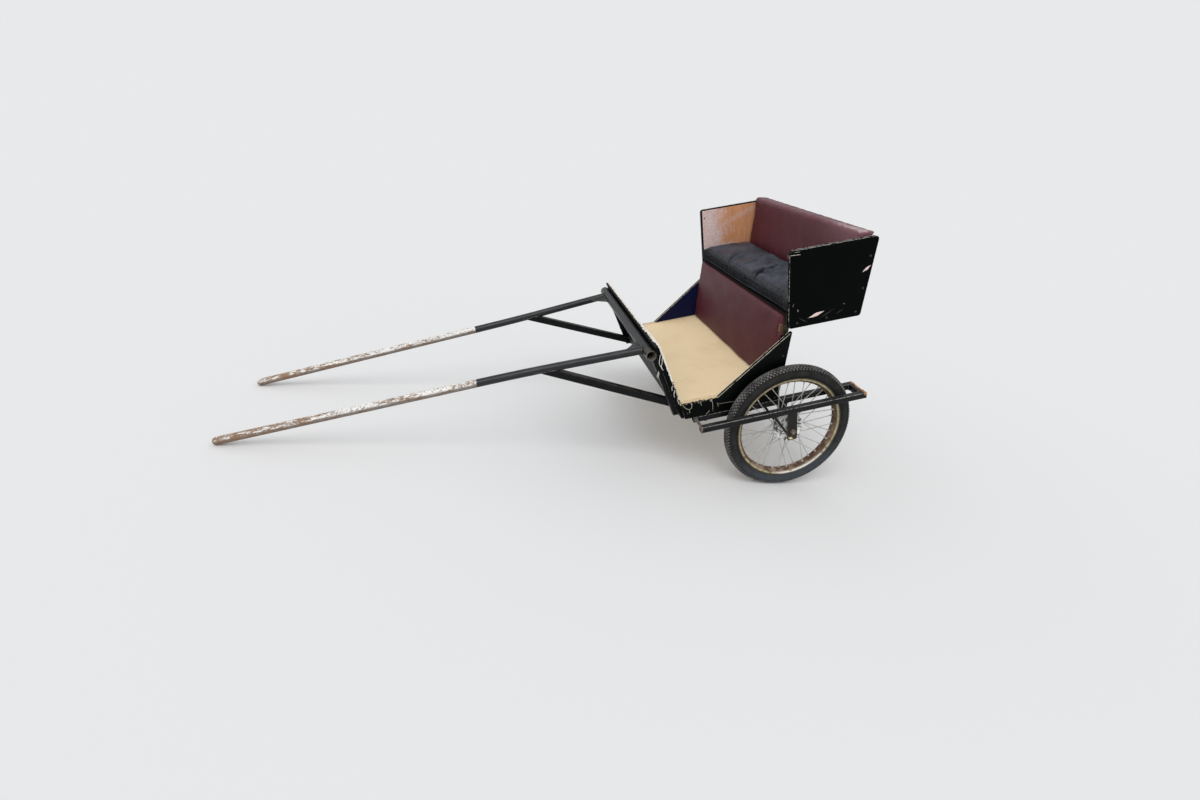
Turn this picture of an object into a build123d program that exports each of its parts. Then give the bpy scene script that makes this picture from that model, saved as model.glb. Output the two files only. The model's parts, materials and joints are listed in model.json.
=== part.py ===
"""A two-wheeled pony cart with a bench seat, parked on the tips of its shafts.

The cart is modelled level: X forward, Y to the left, Z up, with the wheels' centre line
along Y through the origin. At the end every piece is tipped nose down about the wheels
until the shaft tips meet the ground, and set on the ground. Lengths are in millimetres.
"""

import os
from math import asin, atan2, cos, degrees, hypot, radians, sin, tan

from build123d import *

os.makedirs("parts", exist_ok=True)

# Fits
seat_gap = 0.3
running_gap = 0.05
cone_gap = 0.5
tyre_clearance = 5.5

# Wheels, from the rim's seat outwards
rim_seat_radius = 213.0
rim_flange_height = 9.0
rim_well_depth = 9.0
rim_well_width = 20.0
rim_width = 45.0
rim_sheet = 2.5
tyre_height = 57.0
tyre_width = 53.0
tyre_wall = 6.0
tyre_shoulder_drop = 11.0
tyre_shoulder_width = 42.0
bead_width = 38.0
wheel_plane_y = 504.0
hub_width = 64.0
hub_radius = 23.0
spoke_flange_radius = 38.0
spoke_flange_width = 8.0
spoke_flange_offset = -25.0
drum_radius = 60.0
drum_width = 26.0
drum_offset = -1.0
spoke_radius = 1.5
spoke_pairs = 9
spoke_lead_angle = 40.0
spoke_stagger = 2.2
spoke_end_gap = 0.6

# Axle pieces
spindle_radius = 6.0
collar_radius = 10.0
nut_across_flats = 19.0
nut_width = 10.0
spindle_stub = 5.0
hanger_plate = 6.0
hanger_width = 40.0
hanger_drop = 40.0
hanger_corner_radius = 8.0
brace_foot_x = 84.0
brace_width = 12.0

# Frame rails
rail_width = 25.0
rail_height = 25.0
rail_wall = 2.0
rail_top_z = 111.0
rail_front_reach = 112.0
rail_rear_clearance = 14.0
link_rod_radius = 6.0
link_rod_inset = 10.0

# Footwell
floor_top_z = 176.5
floor_thickness = 12.0
floor_front_x = 433.0
cross_rail_width = 30.0
side_thickness = 18.0
side_slope_end_x = 279.0
side_peak_z = 393.0
dash_lean = 14.0
dash_thickness = 12.0
dash_inset = 12.0
dash_top_z = 436.0
dash_post_inset = 35.0
dash_post_size = 22.0
board_edge_radius = 2.0

# Shafts and crossbar
crossbar_z = 398.6
crossbar_end_inset = 13.0
crossbar_radius = 21.0
tube_wall = 3.0
shaft_radius = 16.0
shaft_fall = 0.0424
shaft_root_y = 374.0
shaft_bend_at = 480.0
shaft_bend_y = 321.0
shaft_bend_radius = 4000.0
shaft_tip_at = 1663.0
shaft_tip_y = 272.0
gusset_leg = 75.0
gusset_plate = 5.0
strut_size = 30.0
strut_wall = 2.0
strut_foot_y = 370.0
strut_foot_z = 142.0
strut_head_at = 408.0

# Seat
seat_foot_x = 60.5
seat_lean = 11.54
seat_panel_thickness = 18.0
seat_post_depth = 29.5
seat_post_width = 25.0
seat_post_inset = 24.0
seat_bearer_height = 34.0
seat_board_thickness = 15.0
cushion_height = 48.0
cushion_front_x = 3.0
cushion_edge_radius = 16.0
arm_overhang = 9.5
arm_thickness = 15.0
arm_bottom_z = 412.0
arm_top_z = 710.0
arm_front_x = -11.4
arm_corner_radius = 12.0
back_foot_x = -305.0
back_lean = 10.65
back_board_thickness = 15.0
back_board_top_z = 700.0
back_pad_thickness = 46.0
back_pad_top_z = 724.0
back_roll_radius = 11.0
soft_side_gap = 3.0

# What follows from them
wheel_radius = rim_seat_radius + tyre_height
rim_flange_radius = rim_seat_radius + rim_flange_height
rim_well_radius = rim_seat_radius - rim_well_depth
tyre_shoulder_radius = wheel_radius - tyre_shoulder_drop
rail_front_x = wheel_radius + rail_front_reach
rail_rear_x = -wheel_radius - rail_rear_clearance - rail_width
link_rod_x = rail_front_x - link_rod_inset
outer_rail_y = wheel_plane_y + tyre_width / 2 + tyre_clearance + rail_width / 2
inner_rail_y = wheel_plane_y - tyre_width / 2 - tyre_clearance - rail_width / 2
link_length = outer_rail_y - inner_rail_y - rail_width
rail_middle_x = (rail_front_x + rail_rear_x) / 2
rail_middle_z = rail_top_z - rail_height / 2
rail_bottom_z = rail_top_z - rail_height
side_outer_y = inner_rail_y + rail_width / 2
side_inner_y = side_outer_y - side_thickness
dash_half_width = side_outer_y - dash_inset
crossbar_half_length = dash_half_width - crossbar_end_inset
dash_post_y = crossbar_half_length - dash_post_inset
seat_post_y = side_inner_y - seat_post_inset
floor_under_z = floor_top_z - floor_thickness
seat_frame_depth = seat_panel_thickness + seat_post_depth
floor_rear_x = seat_foot_x - seat_frame_depth
arm_outer_y = side_outer_y + arm_overhang
arm_inner_y = arm_outer_y - arm_thickness
seat_board_under_z = arm_bottom_z + seat_bearer_height
seat_board_top_z = seat_board_under_z + seat_board_thickness
dash_depth = dash_thickness / cos(radians(dash_lean))
back_board_depth = back_board_thickness / cos(radians(back_lean))
back_pad_depth = back_pad_thickness / cos(radians(back_lean))


def dash_x(z):
    """The dash board's rear face at a height."""
    return floor_front_x + (z - floor_top_z) * tan(radians(dash_lean))


def seat_front_x(z):
    """The seat front panel's front face at a height."""
    return seat_foot_x - (z - floor_top_z) * tan(radians(seat_lean))


def back_x(z):
    """The seat back's rear face at a height."""
    return back_foot_x - (z - arm_bottom_z) * tan(radians(back_lean))


# The crossbar lies against the dash board, and the shafts' plane falls away from it
crossbar_stand_off = (crossbar_radius + seat_gap) / cos(radians(dash_lean))
crossbar_x = dash_x(crossbar_z) + dash_depth + crossbar_stand_off
shaft_plane = Plane(
    origin=(crossbar_x, 0, crossbar_z),
    x_dir=(1, 0, -shaft_fall),
    z_dir=(shaft_fall, 0, 1),
)
dash_front = Plane(
    origin=(dash_x(floor_top_z) + dash_depth, 0, floor_top_z),
    z_dir=(cos(radians(dash_lean)), 0, -sin(radians(dash_lean))),
)

# The parked attitude: the lowest points of wheels and shaft tips share the ground
shaft_tip = shaft_plane.from_local_coords((shaft_tip_at, 0, 0))
rise_to_tip = atan2(shaft_tip.Z, shaft_tip.X)
reach_to_tip = hypot(shaft_tip.X, shaft_tip.Z)
parked_pitch = rise_to_tip + asin((wheel_radius - shaft_radius) / reach_to_tip)
parked_front_x = reach_to_tip * cos(parked_pitch - rise_to_tip) + shaft_radius
parked_rail_x = rail_rear_x * cos(parked_pitch) + rail_bottom_z * sin(parked_pitch)
parked_rear_x = min(parked_rail_x, -wheel_radius)
parked_middle_x = (parked_front_x + parked_rear_x) / 2
parked = Location((-parked_middle_x, 0, wheel_radius), (0, degrees(parked_pitch), 0))


def keep(piece, name):
    """Set a finished piece in the parked attitude and write it."""
    piece.part.move(parked)
    piece.part.label = name
    export_step(piece.part, f"parts/{name}.step")


def slab(outline, y_from, y_to):
    """Fill an outline of the side view between two places along Y."""
    with BuildSketch(Plane.XZ.offset(-y_to)) as section:
        with BuildLine():
            Polyline(*outline, close=True)
        make_face()
    extrude(section.sketch, amount=y_to - y_from)


def side_slab(outline, y_middle, thickness):
    """Fill an outline of the side view, centred on one place along Y."""
    slab(outline, y_middle - thickness / 2, y_middle + thickness / 2)


def rod_along_y(x, z, y_middle, length, radius, mode=Mode.ADD):
    """A round bar along Y."""
    with BuildSketch(Plane.XZ.offset(-y_middle - length / 2)) as section:
        with Locations((x, z)):
            Circle(radius)
    extrude(section.sketch, amount=length, mode=mode)


def cope_to_crossbar():
    """Cut away the room that the crossbar needs."""
    rod_along_y(
        crossbar_x, crossbar_z, 0, 2 * crossbar_half_length, crossbar_radius + seat_gap, Mode.SUBTRACT
    )


def square_tube(start, direction, length, width, height, wall):
    """A square tube from a point along a direction, its width kept level."""
    across = Vector(0, 0, 1).cross(Vector(direction))
    with BuildSketch(Plane(origin=start, x_dir=across, z_dir=direction)) as section:
        RectangleRounded(width, height, 1.5 * wall)
        Rectangle(width - 2 * wall, height - 2 * wall, mode=Mode.SUBTRACT)
    extrude(section.sketch, amount=length)


def shaft_line(hand):
    """The middle line of one shaft: two straight runs and a gentle bend."""
    with BuildLine(shaft_plane) as line:
        FilletPolyline(
            (0, hand * shaft_root_y),
            (shaft_bend_at, hand * shaft_bend_y),
            (shaft_tip_at, hand * shaft_tip_y),
            radius=shaft_bend_radius,
        )
    return line.wires()[0]


def shaft_tube(hand, outer_radius, inner_radius=0.0, mode=Mode.ADD):
    """A round tube along one shaft's middle line."""
    line = shaft_line(hand)
    with BuildSketch(Plane(origin=line @ 0, x_dir=shaft_plane.z_dir, z_dir=line % 0)) as section:
        Circle(outer_radius)
        if inner_radius:
            Circle(inner_radius, mode=Mode.SUBTRACT)
    sweep(section.sketch, path=line, mode=mode)


# Crossbar with its two corner gussets
with BuildPart() as crossbar:
    for hand in (1, -1):
        gusset_near_y = hand * (shaft_root_y - shaft_radius)
        gusset_far_y = hand * (shaft_root_y - shaft_radius - gusset_leg)
        with BuildSketch(shaft_plane.offset(-gusset_plate / 2)):
            with BuildLine():
                Polyline(
                    (0, gusset_far_y),
                    (crossbar_radius, gusset_far_y),
                    (crossbar_radius + gusset_leg, gusset_near_y),
                    (0, gusset_near_y),
                    close=True,
                )
            make_face()
        extrude(amount=gusset_plate)
        shaft_tube(hand, shaft_radius + seat_gap, mode=Mode.SUBTRACT)
    rod_along_y(crossbar_x, crossbar_z, 0, 2 * crossbar_half_length, crossbar_radius)
    rod_along_y(
        crossbar_x, crossbar_z, 0, 2 * crossbar_half_length, crossbar_radius - tube_wall, Mode.SUBTRACT
    )
keep(crossbar, "crossbar")

# Shafts, closed by round tips and coped to the crossbar
for hand, side in ((1, "left"), (-1, "right")):
    line = shaft_line(hand)
    with BuildPart() as shaft:
        shaft_tube(hand, shaft_radius, shaft_radius - tube_wall)
        with Locations(Plane(origin=line @ 1, z_dir=line % 1)):
            Sphere(shaft_radius, arc_size1=0, align=(Align.CENTER, Align.CENTER, Align.MIN))
        cope_to_crossbar()
    keep(shaft, f"shaft_{side}")

# Struts from the shafts' undersides down to the dash board's foot
for hand, side in ((1, "left"), (-1, "right")):
    shaft_root = shaft_plane.from_local_coords((0, hand * shaft_root_y, 0))
    shaft_bend = shaft_plane.from_local_coords((shaft_bend_at, hand * shaft_bend_y, 0))
    strut_head = shaft_root + (shaft_bend - shaft_root) * (strut_head_at / shaft_bend_at)
    strut_foot = Vector(dash_x(strut_foot_z) + dash_depth, hand * strut_foot_y, strut_foot_z)
    strut_run = strut_head - strut_foot
    strut_start = strut_foot - strut_run.normalized() * strut_size
    with BuildPart() as strut:
        square_tube(
            strut_start, strut_run, strut_run.length + strut_size, strut_size, strut_size, strut_wall
        )
        split(bisect_by=dash_front, keep=Keep.TOP)
        split(bisect_by=shaft_plane, keep=Keep.BOTTOM)
        shaft_tube(hand, shaft_radius + seat_gap, mode=Mode.SUBTRACT)
    keep(strut, f"strut_{side}")

# Cross rails under the floor, the floor and the dash
with BuildPart() as floor_front_rail:
    slab(
        (
            (dash_x(rail_top_z) - cross_rail_width, rail_top_z),
            (dash_x(rail_top_z), rail_top_z),
            (dash_x(floor_under_z), floor_under_z),
            (dash_x(rail_top_z) - cross_rail_width, floor_under_z),
        ),
        -side_inner_y,
        side_inner_y,
    )
keep(floor_front_rail, "floor_front_rail")

with BuildPart() as floor_rear_rail:
    slab(
        (
            (floor_rear_x, rail_top_z),
            (floor_rear_x + cross_rail_width, rail_top_z),
            (floor_rear_x + cross_rail_width, floor_under_z),
            (floor_rear_x, floor_under_z),
        ),
        -side_inner_y,
        side_inner_y,
    )
keep(floor_rear_rail, "floor_rear_rail")

with BuildPart() as floor_board:
    slab(
        (
            (floor_rear_x, floor_under_z),
            (dash_x(floor_under_z), floor_under_z),
            (dash_x(floor_top_z), floor_top_z),
            (floor_rear_x, floor_top_z),
        ),
        -side_inner_y,
        side_inner_y,
    )
keep(floor_board, "floor_board")

with BuildPart() as dash_board:
    slab(
        (
            (dash_x(rail_top_z), rail_top_z),
            (dash_x(rail_top_z) + dash_depth, rail_top_z),
            (dash_x(dash_top_z) + dash_depth, dash_top_z),
            (dash_x(dash_top_z), dash_top_z),
        ),
        -dash_half_width,
        dash_half_width,
    )
    fillet(dash_board.faces().sort_by(Axis.Z)[-1].edges(), board_edge_radius)
keep(dash_board, "dash_board")

# Uprights in front of the dash, coped to the crossbar's underside
for hand, side in ((1, "left"), (-1, "right")):
    with BuildPart() as dash_post:
        side_slab(
            (
                (dash_x(rail_top_z) + dash_depth, rail_top_z),
                (dash_x(rail_top_z) + dash_depth + dash_post_size, rail_top_z),
                (dash_x(crossbar_z) + dash_depth + dash_post_size, crossbar_z),
                (dash_x(crossbar_z) + dash_depth, crossbar_z),
            ),
            hand * dash_post_y,
            dash_post_size,
        )
        cope_to_crossbar()
        split(bisect_by=Plane.XY.offset(crossbar_z - crossbar_radius / 2), keep=Keep.BOTTOM)
    keep(dash_post, f"dash_post_{side}")

# Wedge-shaped sides of the footwell
for hand, side in ((1, "left"), (-1, "right")):
    with BuildPart() as side_panel:
        side_slab(
            (
                (seat_front_x(rail_top_z) - seat_frame_depth, rail_top_z),
                (dash_x(rail_top_z), rail_top_z),
                (dash_x(floor_top_z), floor_top_z),
                (side_slope_end_x, floor_top_z),
                (seat_front_x(side_peak_z) - seat_frame_depth, side_peak_z),
            ),
            hand * (side_outer_y - side_thickness / 2),
            side_thickness,
        )
    keep(side_panel, f"side_panel_{side}")

# Rails on both sides of each wheel, and what joins them
for hand, side in ((1, "left"), (-1, "right")):
    for place, rail_y in (("inner", inner_rail_y), ("outer", outer_rail_y)):
        with BuildPart() as rail:
            square_tube(
                (rail_rear_x, hand * rail_y, rail_middle_z),
                (1, 0, 0),
                rail_front_x - rail_rear_x,
                rail_width,
                rail_height,
                rail_wall,
            )
        keep(rail, f"{place}_rail_{side}")
    with BuildPart() as rear_link:
        square_tube(
            (rail_rear_x + rail_width / 2, hand * wheel_plane_y - link_length / 2, rail_middle_z),
            (0, 1, 0),
            link_length,
            rail_width,
            rail_height,
            rail_wall,
        )
    keep(rear_link, f"rear_link_{side}")
    with BuildPart() as front_link:
        rod_along_y(link_rod_x, rail_middle_z, hand * wheel_plane_y, link_length, link_rod_radius)
    keep(front_link, f"front_link_{side}")

# Axle plates, each with a brace up to its rail
for hand, side in ((1, "left"), (-1, "right")):
    for place, rail_y in (("inner", inner_rail_y), ("outer", outer_rail_y)):
        with BuildPart() as hanger:
            side_slab(
                (
                    (-hanger_width / 2, -hanger_drop),
                    (hanger_width / 2, -hanger_drop),
                    (hanger_width / 2, rail_bottom_z),
                    (-hanger_width / 2, rail_bottom_z),
                ),
                hand * rail_y,
                hanger_plate,
            )
            fillet(hanger.edges().filter_by(Axis.Y).group_by(Axis.Z)[0], hanger_corner_radius)
            side_slab(
                (
                    (hanger_width / 2 - brace_width, -hanger_drop / 2),
                    (hanger_width / 2, -hanger_drop / 2),
                    (brace_foot_x, rail_bottom_z),
                    (brace_foot_x - brace_width, rail_bottom_z),
                ),
                hand * rail_y,
                hanger_plate,
            )
            rod_along_y(0, 0, hand * rail_y, 2 * hanger_plate, spindle_radius + seat_gap, Mode.SUBTRACT)
        keep(hanger, f"hanger_{place}_{side}")

# Stub axles with the collars that hold each wheel in its place and the end nuts
plate_gap_half = (outer_rail_y - inner_rail_y - hanger_plate) / 2
nut_middle_offset = plate_gap_half + hanger_plate + nut_width / 2
collar_length = plate_gap_half - hub_width / 2 - cone_gap
for hand, side in ((1, "left"), (-1, "right")):
    with BuildPart() as spindle:
        spindle_length = 2 * (nut_middle_offset + nut_width / 2 + spindle_stub)
        rod_along_y(0, 0, hand * wheel_plane_y, spindle_length, spindle_radius)
        for end in (1, -1):
            rod_along_y(
                0,
                0,
                hand * wheel_plane_y + end * (plate_gap_half - collar_length / 2),
                collar_length,
                collar_radius,
            )
            with BuildSketch(
                Plane.XZ.offset(-hand * wheel_plane_y - end * nut_middle_offset - nut_width / 2)
            ):
                RegularPolygon(nut_across_flats / 2, 6, major_radius=False)
            extrude(amount=nut_width)
    keep(spindle, f"spindle_{side}")

# Seat frame: posts, bearers, the seat board and the padded front panel
for hand, side in ((1, "left"), (-1, "right")):
    with BuildPart() as seat_post:
        side_slab(
            (
                (seat_front_x(floor_top_z) - seat_frame_depth, floor_top_z),
                (seat_front_x(floor_top_z) - seat_panel_thickness, floor_top_z),
                (seat_front_x(arm_bottom_z) - seat_panel_thickness, arm_bottom_z),
                (seat_front_x(arm_bottom_z) - seat_frame_depth, arm_bottom_z),
            ),
            hand * seat_post_y,
            seat_post_width,
        )
    keep(seat_post, f"seat_post_{side}")
    with BuildPart() as seat_bearer:
        side_slab(
            (
                (back_x(arm_bottom_z), arm_bottom_z),
                (seat_front_x(arm_bottom_z) - seat_panel_thickness, arm_bottom_z),
                (seat_front_x(seat_board_under_z) - seat_panel_thickness, seat_board_under_z),
                (back_x(seat_board_under_z), seat_board_under_z),
            ),
            hand * seat_post_y,
            seat_post_width,
        )
    keep(seat_bearer, f"seat_bearer_{side}")

with BuildPart() as seat_board:
    slab(
        (
            (back_x(seat_board_under_z), seat_board_under_z),
            (seat_front_x(seat_board_under_z) - seat_panel_thickness, seat_board_under_z),
            (seat_front_x(seat_board_top_z) - seat_panel_thickness, seat_board_top_z),
            (back_x(seat_board_top_z), seat_board_top_z),
        ),
        -arm_inner_y,
        arm_inner_y,
    )
keep(seat_board, "seat_board")

with BuildPart() as seat_front_panel:
    slab(
        (
            (seat_front_x(floor_top_z) - seat_panel_thickness, floor_top_z),
            (seat_front_x(floor_top_z), floor_top_z),
            (seat_front_x(seat_board_top_z), seat_board_top_z),
            (seat_front_x(seat_board_top_z) - seat_panel_thickness, seat_board_top_z),
        ),
        -side_inner_y,
        side_inner_y,
    )
keep(seat_front_panel, "seat_front_panel")

# Seat ends
for hand, side in ((1, "left"), (-1, "right")):
    with BuildPart() as arm_panel:
        side_slab(
            (
                (back_x(arm_bottom_z), arm_bottom_z),
                (arm_front_x, arm_bottom_z),
                (arm_front_x, arm_top_z),
                (back_x(arm_top_z), arm_top_z),
            ),
            hand * (arm_outer_y - arm_thickness / 2),
            arm_thickness,
        )
        fillet(arm_panel.edges().filter_by(Axis.Y), arm_corner_radius)
    keep(arm_panel, f"arm_panel_{side}")

# Seat back: a board, and a pad that rolls over its top
with BuildPart() as back_board:
    slab(
        (
            (back_x(seat_board_top_z), seat_board_top_z),
            (back_x(seat_board_top_z) + back_board_depth, seat_board_top_z),
            (back_x(back_board_top_z) + back_board_depth, back_board_top_z),
            (back_x(back_board_top_z), back_board_top_z),
        ),
        -arm_inner_y,
        arm_inner_y,
    )
keep(back_board, "back_board")

pad_rear = back_board_depth + seat_gap
pad_front = pad_rear + back_pad_depth
pad_foot_z = seat_board_top_z + seat_gap
roll_under_z = back_board_top_z + seat_gap
with BuildPart() as back_pad:
    slab(
        (
            (back_x(pad_foot_z) + pad_rear, pad_foot_z),
            (back_x(pad_foot_z) + pad_front, pad_foot_z),
            (back_x(back_pad_top_z) + pad_front, back_pad_top_z),
            (back_x(back_pad_top_z), back_pad_top_z),
            (back_x(roll_under_z), roll_under_z),
            (back_x(roll_under_z) + pad_rear, roll_under_z),
        ),
        soft_side_gap - arm_inner_y,
        arm_inner_y - soft_side_gap,
    )
    fillet(back_pad.edges().filter_by(Axis.Y).group_by(Axis.Z)[-1], back_roll_radius)
keep(back_pad, "back_pad")

cushion_foot_z = seat_board_top_z + seat_gap
cushion_top_z = cushion_foot_z + cushion_height
cushion_rear = pad_front + seat_gap
with BuildPart() as seat_cushion:
    slab(
        (
            (back_x(cushion_foot_z) + cushion_rear, cushion_foot_z),
            (cushion_front_x, cushion_foot_z),
            (cushion_front_x, cushion_top_z),
            (back_x(cushion_top_z) + cushion_rear, cushion_top_z),
        ),
        soft_side_gap - arm_inner_y,
        arm_inner_y - soft_side_gap,
    )
    fillet(
        seat_cushion.edges().filter_by(Axis.Y).sort_by(Axis.X)[-2:].sort_by(Axis.Z)[-1:],
        cushion_edge_radius,
    )
keep(seat_cushion, "seat_cushion")


def ring(outline, hand):
    """Turn an outline of (radius, offset outwards from the wheel's plane) about the axle."""
    with BuildSketch(Plane.XY) as section:
        with BuildLine():
            Polyline(*((radius, hand * (wheel_plane_y + offset)) for radius, offset in outline), close=True)
        make_face()
    revolve(section.sketch, axis=Axis.Y)


def tyre_section(hand, inset):
    """The tyre's section from bead to bead, drawn inside its outer skin by an inset."""
    middle_y = hand * wheel_plane_y
    foot = bead_width / 2 - inset
    cheek = tyre_width / 2 - inset
    shoulder = tyre_shoulder_width / 2 - inset
    cheek_radius = (rim_flange_radius + tyre_shoulder_radius) / 2
    with BuildSketch(Plane.XY) as section:
        with BuildLine():
            Line((rim_seat_radius, middle_y - foot), (rim_flange_radius, middle_y - foot))
            ThreePointArc(
                (rim_flange_radius, middle_y - foot),
                (cheek_radius, middle_y - cheek),
                (tyre_shoulder_radius - inset, middle_y - shoulder),
            )
            ThreePointArc(
                (tyre_shoulder_radius - inset, middle_y - shoulder),
                (wheel_radius - inset, middle_y),
                (tyre_shoulder_radius - inset, middle_y + shoulder),
            )
            ThreePointArc(
                (tyre_shoulder_radius - inset, middle_y + shoulder),
                (cheek_radius, middle_y + cheek),
                (rim_flange_radius, middle_y + foot),
            )
            Line((rim_flange_radius, middle_y + foot), (rim_seat_radius, middle_y + foot))
            Line((rim_seat_radius, middle_y + foot), (rim_seat_radius, middle_y - foot))
        make_face()
    return section.sketch


# Tyres, open towards their rims
for hand, side in ((1, "left"), (-1, "right")):
    with BuildPart() as tyre:
        revolve(tyre_section(hand, 0), axis=Axis.Y)
        revolve(tyre_section(hand, tyre_wall), axis=Axis.Y, mode=Mode.SUBTRACT)
    keep(tyre, f"tyre_{side}")

# Rims of bent sheet, with a well between the two seats
rim_skin = (
    # radius, offset
    (rim_flange_radius, rim_width / 2),
    (rim_seat_radius - seat_gap, bead_width / 2 + seat_gap),
    (rim_seat_radius - seat_gap, rim_well_width / 2 + rim_sheet),
    (rim_well_radius, rim_well_width / 2),
)
for hand, side in ((1, "left"), (-1, "right")):
    with BuildPart() as rim:
        outer_half = list(rim_skin)
        inner_half = [(radius - rim_sheet, offset) for radius, offset in reversed(rim_skin)]
        half = outer_half + inner_half
        mirrored = [(radius, -offset) for radius, offset in half]
        ring(half[:4] + mirrored[3::-1] + mirrored[:3:-1] + half[4:], hand)
    keep(rim, f"rim_{side}")

# Hubs with a drum on the outer side, and their crossed spokes
spoke_reach = rim_well_radius - rim_sheet - spoke_end_gap
for hand, side in ((1, "left"), (-1, "right")):
    with BuildPart() as hub:
        rod_along_y(0, 0, hand * wheel_plane_y, hub_width, hub_radius)
        for offset, radius, width, rim_offset, turn in (
            (spoke_flange_offset, spoke_flange_radius, spoke_flange_width, -2 * spoke_stagger, 0.0),
            (drum_offset, drum_radius, drum_width, 2 * spoke_stagger, 90 / spoke_pairs),
        ):
            rod_along_y(0, 0, hand * (wheel_plane_y + offset), width, radius)
            for pair in range(spoke_pairs):
                for lead in (1, -1):
                    hub_angle = radians(turn + (pair + (lead < 0) / 2) * 360 / spoke_pairs)
                    rim_angle = hub_angle + lead * radians(spoke_lead_angle)
                    foot = Vector(
                        (radius - 2 * spoke_radius) * cos(hub_angle),
                        hand * (wheel_plane_y + offset + lead * spoke_stagger),
                        (radius - 2 * spoke_radius) * sin(hub_angle),
                    )
                    head = Vector(
                        spoke_reach * cos(rim_angle),
                        hand * (wheel_plane_y + rim_offset + lead * spoke_stagger),
                        spoke_reach * sin(rim_angle),
                    )
                    with BuildSketch(Plane(origin=foot, z_dir=head - foot)):
                        Circle(spoke_radius)
                    extrude(amount=(head - foot).length)
        rod_along_y(
            0, 0, hand * wheel_plane_y, 2 * hub_width, spindle_radius + running_gap, Mode.SUBTRACT
        )
    keep(hub, f"hub_{side}")
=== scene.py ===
"""The looks of a parked two-wheeled pony cart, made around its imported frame.

Pieces are shaped with the cart level, the middle of its axle at the origin, X forward, Y to the
left and Z up. Each finished piece is then tipped into the parked attitude. Lengths are in metres.
"""

import json
import random
from contextlib import contextmanager
from math import atan, atan2, cos, hypot, pi, radians, sin, tan, tau

import bmesh
import bpy
import numpy as np
from mathutils import Matrix, Vector
from mathutils.bvhtree import BVHTree


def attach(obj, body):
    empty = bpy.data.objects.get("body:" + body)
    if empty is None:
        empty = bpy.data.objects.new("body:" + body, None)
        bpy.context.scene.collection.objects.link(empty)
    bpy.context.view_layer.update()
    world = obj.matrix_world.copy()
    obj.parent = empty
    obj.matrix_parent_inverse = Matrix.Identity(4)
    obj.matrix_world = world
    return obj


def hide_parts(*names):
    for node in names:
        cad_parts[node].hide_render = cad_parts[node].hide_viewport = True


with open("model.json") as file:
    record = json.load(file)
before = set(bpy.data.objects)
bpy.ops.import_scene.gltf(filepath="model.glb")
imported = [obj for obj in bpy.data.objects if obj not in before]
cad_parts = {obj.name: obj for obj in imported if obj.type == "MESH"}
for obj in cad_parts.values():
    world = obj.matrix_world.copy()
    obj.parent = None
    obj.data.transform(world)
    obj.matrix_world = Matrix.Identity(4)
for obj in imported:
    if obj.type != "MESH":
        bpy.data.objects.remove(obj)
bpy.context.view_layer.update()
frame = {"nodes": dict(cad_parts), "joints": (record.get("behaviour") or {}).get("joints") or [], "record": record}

# The parked attitude, read from the frame
SHAFT_FALL = 0.0424
spin = next(joint for joint in frame["joints"] if joint["name"] == "wheel_left_spin")
shaft_mount = next(mount for mount in frame["record"]["mounts"] if mount["name"] == "shaft_tip_left")
AXLE = Vector((spin["pos_m"][0], 0, spin["pos_m"][2]))
PITCH = atan2(-shaft_mount["axis"][2], shaft_mount["axis"][0]) - atan(SHAFT_FALL)
PARKED = Matrix.Translation(AXLE) @ Matrix.Rotation(PITCH, 4, "Y")
SIDES = (("left", 1), ("right", -1))

# Wheels
WHEEL_Y = spin["pos_m"][1]
WHEEL_RADIUS = spin["pos_m"][2]
RIM_SEAT_RADIUS = 0.213
RIM_FLANGE_RADIUS = 0.222
RIM_WELL_RADIUS = 0.204
TYRE_WIDTH = 0.053
TREAD_DEPTH = 0.0035

# Footwell
FLOOR_TOP = 0.1765
FLOOR_FRONT_X = 0.433
SIDE_OUTER_Y = 0.472
SIDE_INNER_Y = 0.454
DASH_HALF_WIDTH = 0.46
DASH_TOP = 0.436
DASH_LEAN = radians(14)
DASH_SLOPE = tan(DASH_LEAN)
DASH_DEPTH = 0.012 / cos(DASH_LEAN)
DASH_FRONT = Vector((cos(DASH_LEAN), 0, -sin(DASH_LEAN)))

# Seat
SEAT_FOOT_X = 0.0605
SEAT_SLOPE = tan(radians(11.54))
SEAT_PANEL_DEPTH = 0.018
SEAT_BOARD_TOP = 0.461
ARM_OUTER_Y = 0.4815
ARM_INNER_Y = 0.4665
ARM_FRONT_X = -0.0114
ARM_TOP = 0.71
ARM_BOTTOM = 0.412
BACK_FOOT_X = -0.305
BACK_LEAN = radians(10.65)
BACK_SLOPE = tan(BACK_LEAN)
BACK_BOARD_DEPTH = 0.015 / cos(BACK_LEAN)
BACK_PAD_DEPTH = 0.046 / cos(BACK_LEAN)
BACK_PAD_TOP = 0.724
CUSHION_HEIGHT = 0.048
CUSHION_FRONT_X = 0.003
SOFT_SIDE_GAP = 0.003
SEAT_GAP = 0.0003


def dash_x(z):
    """The dash board's rear face at a height."""
    return FLOOR_FRONT_X + (z - FLOOR_TOP) * DASH_SLOPE


def seat_front_x(z):
    """The seat front panel's front face at a height."""
    return SEAT_FOOT_X - (z - FLOOR_TOP) * SEAT_SLOPE


def back_x(z):
    """The seat back's rear face at a height."""
    return BACK_FOOT_X - (z - ARM_BOTTOM) * BACK_SLOPE


def paint(red, green, blue):
    """A colour as it looks on a screen, from 0 to 255, in the shader's terms."""
    def linear(part):
        share = part / 255
        return share / 12.92 if share <= 0.04045 else ((share + 0.055) / 1.055) ** 2.4
    return linear(red), linear(green), linear(blue), 1.0


# Materials

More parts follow.
